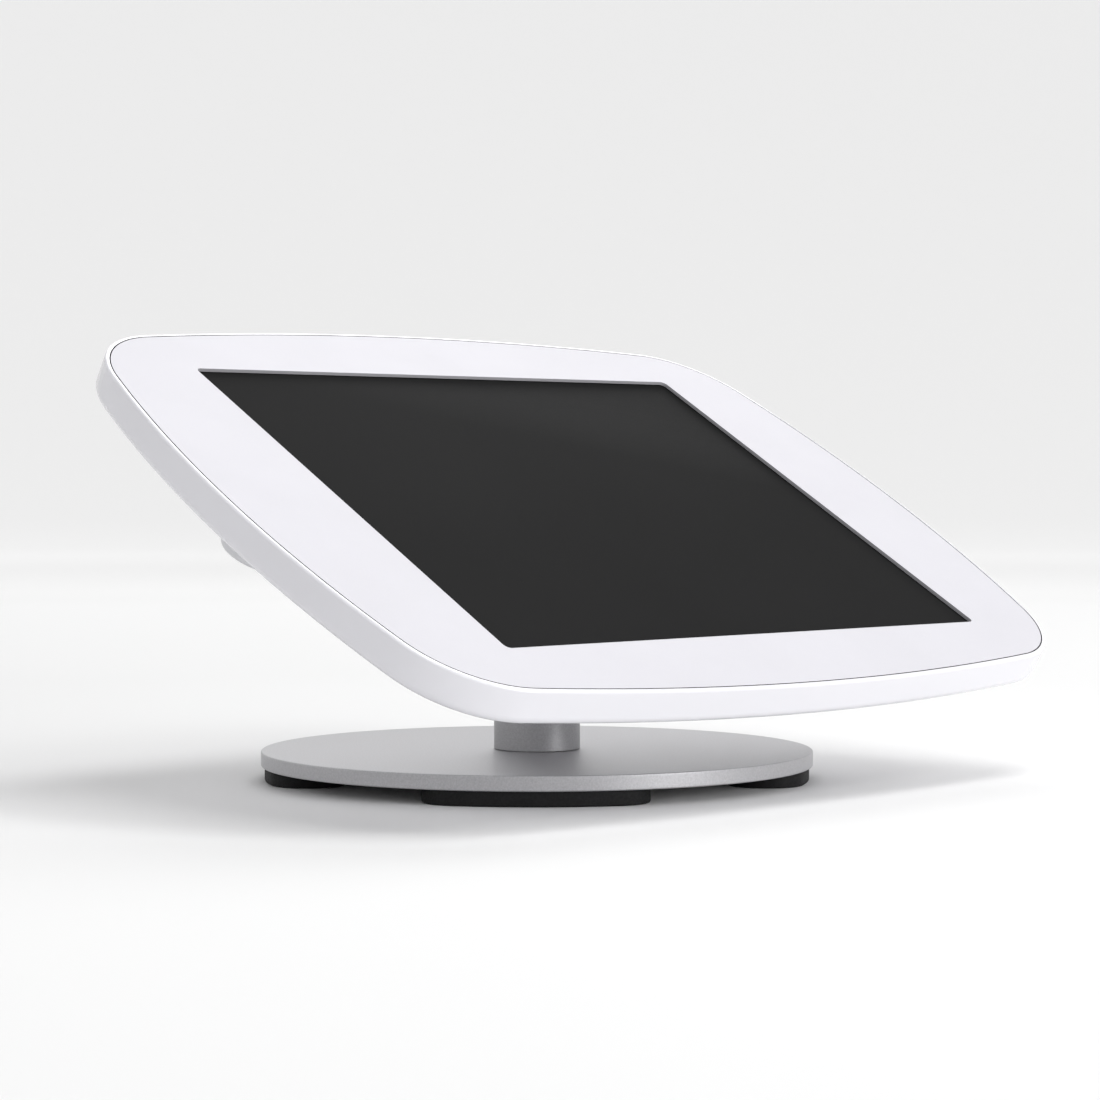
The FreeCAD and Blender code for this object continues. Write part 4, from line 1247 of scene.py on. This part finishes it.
def build_floor():
    """A paper sweep: matt near the object, and a glowing backdrop beyond it, painted light that grades the
    backdrop's brightness.
    """
    material, tree, shader = shader_tree("studio floor")
    coordinates = tree.nodes.new("ShaderNodeTexCoord")
    parts = tree.nodes.new("ShaderNodeSeparateXYZ")
    tree.links.new(coordinates.outputs["Object"], parts.inputs["Vector"])
    square_x = math_node(tree, "MULTIPLY", parts.outputs["X"], parts.outputs["X"])
    square_y = math_node(tree, "MULTIPLY", parts.outputs["Y"], parts.outputs["Y"])
    reach = math_node(tree, "SQRT", math_node(tree, "ADD", square_x, square_y), 0.0)
    along = math_node(tree, "ADD", reach, parts.outputs["Z"])
    place = math_node(tree, "DIVIDE", along, BACKDROP_REACH)
    paper = stops(tree, place, PAPER_TONES, "EASE")
    # Emission rising towards the wall: painted light.
    glow = stops(tree, place, BACKDROP_GLOW, "LINEAR")
    tree.links.new(paper, shader.inputs["Base Color"])
    tree.links.new(glow, shader.inputs["Emission Color"])
    shader.inputs["Emission Strength"].default_value = 1.0
    shader.inputs["Roughness"].default_value = 0.85
    shader.inputs["Specular IOR Level"].default_value = 0.2
    mesh = bmesh.new()
    rings = lathe(mesh, bowl_profile(), count=128, closed=False)
    mesh.faces.new(rings[0])
    data = bpy.data.meshes.new("studio_floor")
    mesh.to_mesh(data)
    mesh.free()
    data.shade_smooth()
    data.materials.append(material)
    floor = bpy.data.objects.new("studio_floor", data)
    bpy.context.scene.collection.objects.link(floor)


def area_light(name, place, target, width, height, power):
    light = bpy.data.lights.new(name, "AREA")
    light.shape = "RECTANGLE"
    light.size = width
    light.size_y = height
    light.energy = power
    lamp = bpy.data.objects.new(name, light)
    lamp.location = place
    aim = Vector(target) - Vector(place)
    lamp.rotation_euler = aim.to_track_quat("-Z", "Y").to_euler()
    lamp.visible_camera = False
    bpy.context.scene.collection.objects.link(lamp)


def build_lights():
    world = bpy.data.worlds.new("studio air")
    world.use_nodes = True
    air = world.node_tree.nodes["Background"]
    air.inputs["Color"].default_value = (1.0, 1.0, 1.0, 1.0)
    air.inputs["Strength"].default_value = 0.05
    bpy.context.scene.world = world
    area_light("overhead right", (0.4, -0.5, 1.9), (0, 0, 0), 0.8, 0.8, 9.5)
    area_light("overhead front", (-0.3, -0.7, 1.9), (0, 0, 0), 0.8, 0.8, 10)
    area_light("key", (0.8, -1.7, 1.8), (0, 0, 0.05), 0.9, 0.9, 11.5)
    area_light("back", (1.2, 1.2, 1.8), (0, 0, 0.1), 1.6, 1.6, 18)
    area_light("front low", (0.4, -2.4, 0.5), (0, 0, 0.1), 1.4, 0.6, 21)


def build_camera():
    stage = bpy.context.scene.terminal_stage
    camera = bpy.data.cameras.new("camera")
    camera.lens = stage.lens
    camera.sensor_width = 36.0
    view = bpy.data.objects.new("camera", camera)
    ahead = Vector((-math.sin(stage.heading), math.cos(stage.heading), 0.0))
    right = Vector((ahead.y, -ahead.x, 0.0))
    view.location = right * stage.sideways - ahead * stage.distance
    view.location.z = stage.height
    view.rotation_euler = Euler((math.pi / 2 - stage.look_down, 0.0, stage.heading))
    bpy.context.scene.collection.objects.link(view)
    bpy.context.scene.camera = view


# ---- operators
class TERMINAL_OT_base_plate(bpy.types.Operator):
    """Build the weighted round plate"""

    bl_idname = "terminal.base_plate"
    bl_label = "Base Plate"

    def execute(self, context):
        build_base_plate()
        return {"FINISHED"}


class TERMINAL_OT_feet(bpy.types.Operator):
    """Build the four curved rubber feet"""

    bl_idname = "terminal.feet"
    bl_label = "Rubber Feet"

    def execute(self, context):
        build_feet()
        return {"FINISHED"}


class TERMINAL_OT_swivel(bpy.types.Operator):
    """Build the spigot, the bushes, the washers and the nut inside the tube"""

    bl_idname = "terminal.swivel"
    bl_label = "Swivel"

    def execute(self, context):
        build_swivel_parts()
        return {"FINISHED"}


class TERMINAL_OT_stand_tube(bpy.types.Operator):
    """Build the bent stand tube"""

    bl_idname = "terminal.stand_tube"
    bl_label = "Stand Tube"

    def execute(self, context):
        build_stand_tube()
        return {"FINISHED"}


class TERMINAL_OT_mount_flange(bpy.types.Operator):
    """Build the square flange behind the case"""

    bl_idname = "terminal.mount_flange"
    bl_label = "Mount Flange"

    def execute(self, context):
        build_mount_flange()
        return {"FINISHED"}


class TERMINAL_OT_case_tray(bpy.types.Operator):
    """Build the glossy tray with its rim and ledge"""

    bl_idname = "terminal.case_tray"
    bl_label = "Case Tray"

    def execute(self, context):
        build_case_tray()
        return {"FINISHED"}


class TERMINAL_OT_faceplate(bpy.types.Operator):
    """Build the matt faceplate with its window"""

    bl_idname = "terminal.faceplate"
    bl_label = "Faceplate"

    def execute(self, context):
        build_faceplate()
        return {"FINISHED"}


class TERMINAL_OT_lock(bpy.types.Operator):
    """Build the cam lock, the keeper, the hooks and the backing sheet"""

    bl_idname = "terminal.lock"
    bl_label = "Lock"

    def execute(self, context):
        build_lock_body()
        build_lock_parts()
        return {"FINISHED"}


class TERMINAL_OT_tablet(bpy.types.Operator):
    """Build the tablet and its buttons"""

    bl_idname = "terminal.tablet"
    bl_label = "Tablet"

    def execute(self, context):
        build_tablet()
        return {"FINISHED"}


class TERMINAL_OT_holders(bpy.types.Operator):
    """Build the blocks, pads and grommet inside the case"""

    bl_idname = "terminal.holders"
    bl_label = "Tablet Holders"

    def execute(self, context):
        build_holders()
        return {"FINISHED"}


class TERMINAL_OT_screws(bpy.types.Operator):
    """Build every screw"""

    bl_idname = "terminal.screws"
    bl_label = "Screws"

    def execute(self, context):
        build_screws()
        return {"FINISHED"}


class TERMINAL_OT_stage(bpy.types.Operator):
    """Build the floor, the lights and the camera"""

    bl_idname = "terminal.stage"
    bl_label = "Stage"

    def execute(self, context):
        build_floor()
        build_lights()
        build_camera()
        return {"FINISHED"}


operators = (
    TERMINAL_OT_base_plate, TERMINAL_OT_feet, TERMINAL_OT_swivel, TERMINAL_OT_stand_tube,
    TERMINAL_OT_mount_flange, TERMINAL_OT_case_tray, TERMINAL_OT_faceplate,
    TERMINAL_OT_lock, TERMINAL_OT_tablet, TERMINAL_OT_holders, TERMINAL_OT_screws,
    TERMINAL_OT_stage,
)


class TERMINAL_PT_panel(bpy.types.Panel):
    """Lists the sizes, the colours and the build steps"""

    bl_idname = "TERMINAL_PT_panel"
    bl_label = "Counter Terminal"
    bl_space_type = "VIEW_3D"
    bl_region_type = "UI"
    bl_category = "Terminal"

    def draw(self, context):
        for group in ("terminal_sizes", "terminal_colours", "terminal_stage"):
            values = getattr(context.scene, group)
            box = self.layout.box()
            for key in values.__annotations__:
                box.prop(values, key)
        for operator in operators:
            self.layout.operator(operator.bl_idname)


classes = (TerminalSizes, TerminalColours, TerminalStage) + operators + (TERMINAL_PT_panel,)


def register():
    for item in classes:
        bpy.utils.register_class(item)
    scene = bpy.types.Scene
    scene.terminal_sizes = bpy.props.PointerProperty(type=TerminalSizes)
    scene.terminal_colours = bpy.props.PointerProperty(type=TerminalColours)
    scene.terminal_stage = bpy.props.PointerProperty(type=TerminalStage)


def unregister():
    for key in ("terminal_sizes", "terminal_colours", "terminal_stage"):
        delattr(bpy.types.Scene, key)
    for item in reversed(classes):
        bpy.utils.unregister_class(item)


def main():
    register()
    bpy.context.scene.view_settings.view_transform = "Standard"
    for operator in operators:
        group, name = operator.bl_idname.split(".")
        getattr(getattr(bpy.ops, group), name)()


if __name__ == "__main__":
    main()
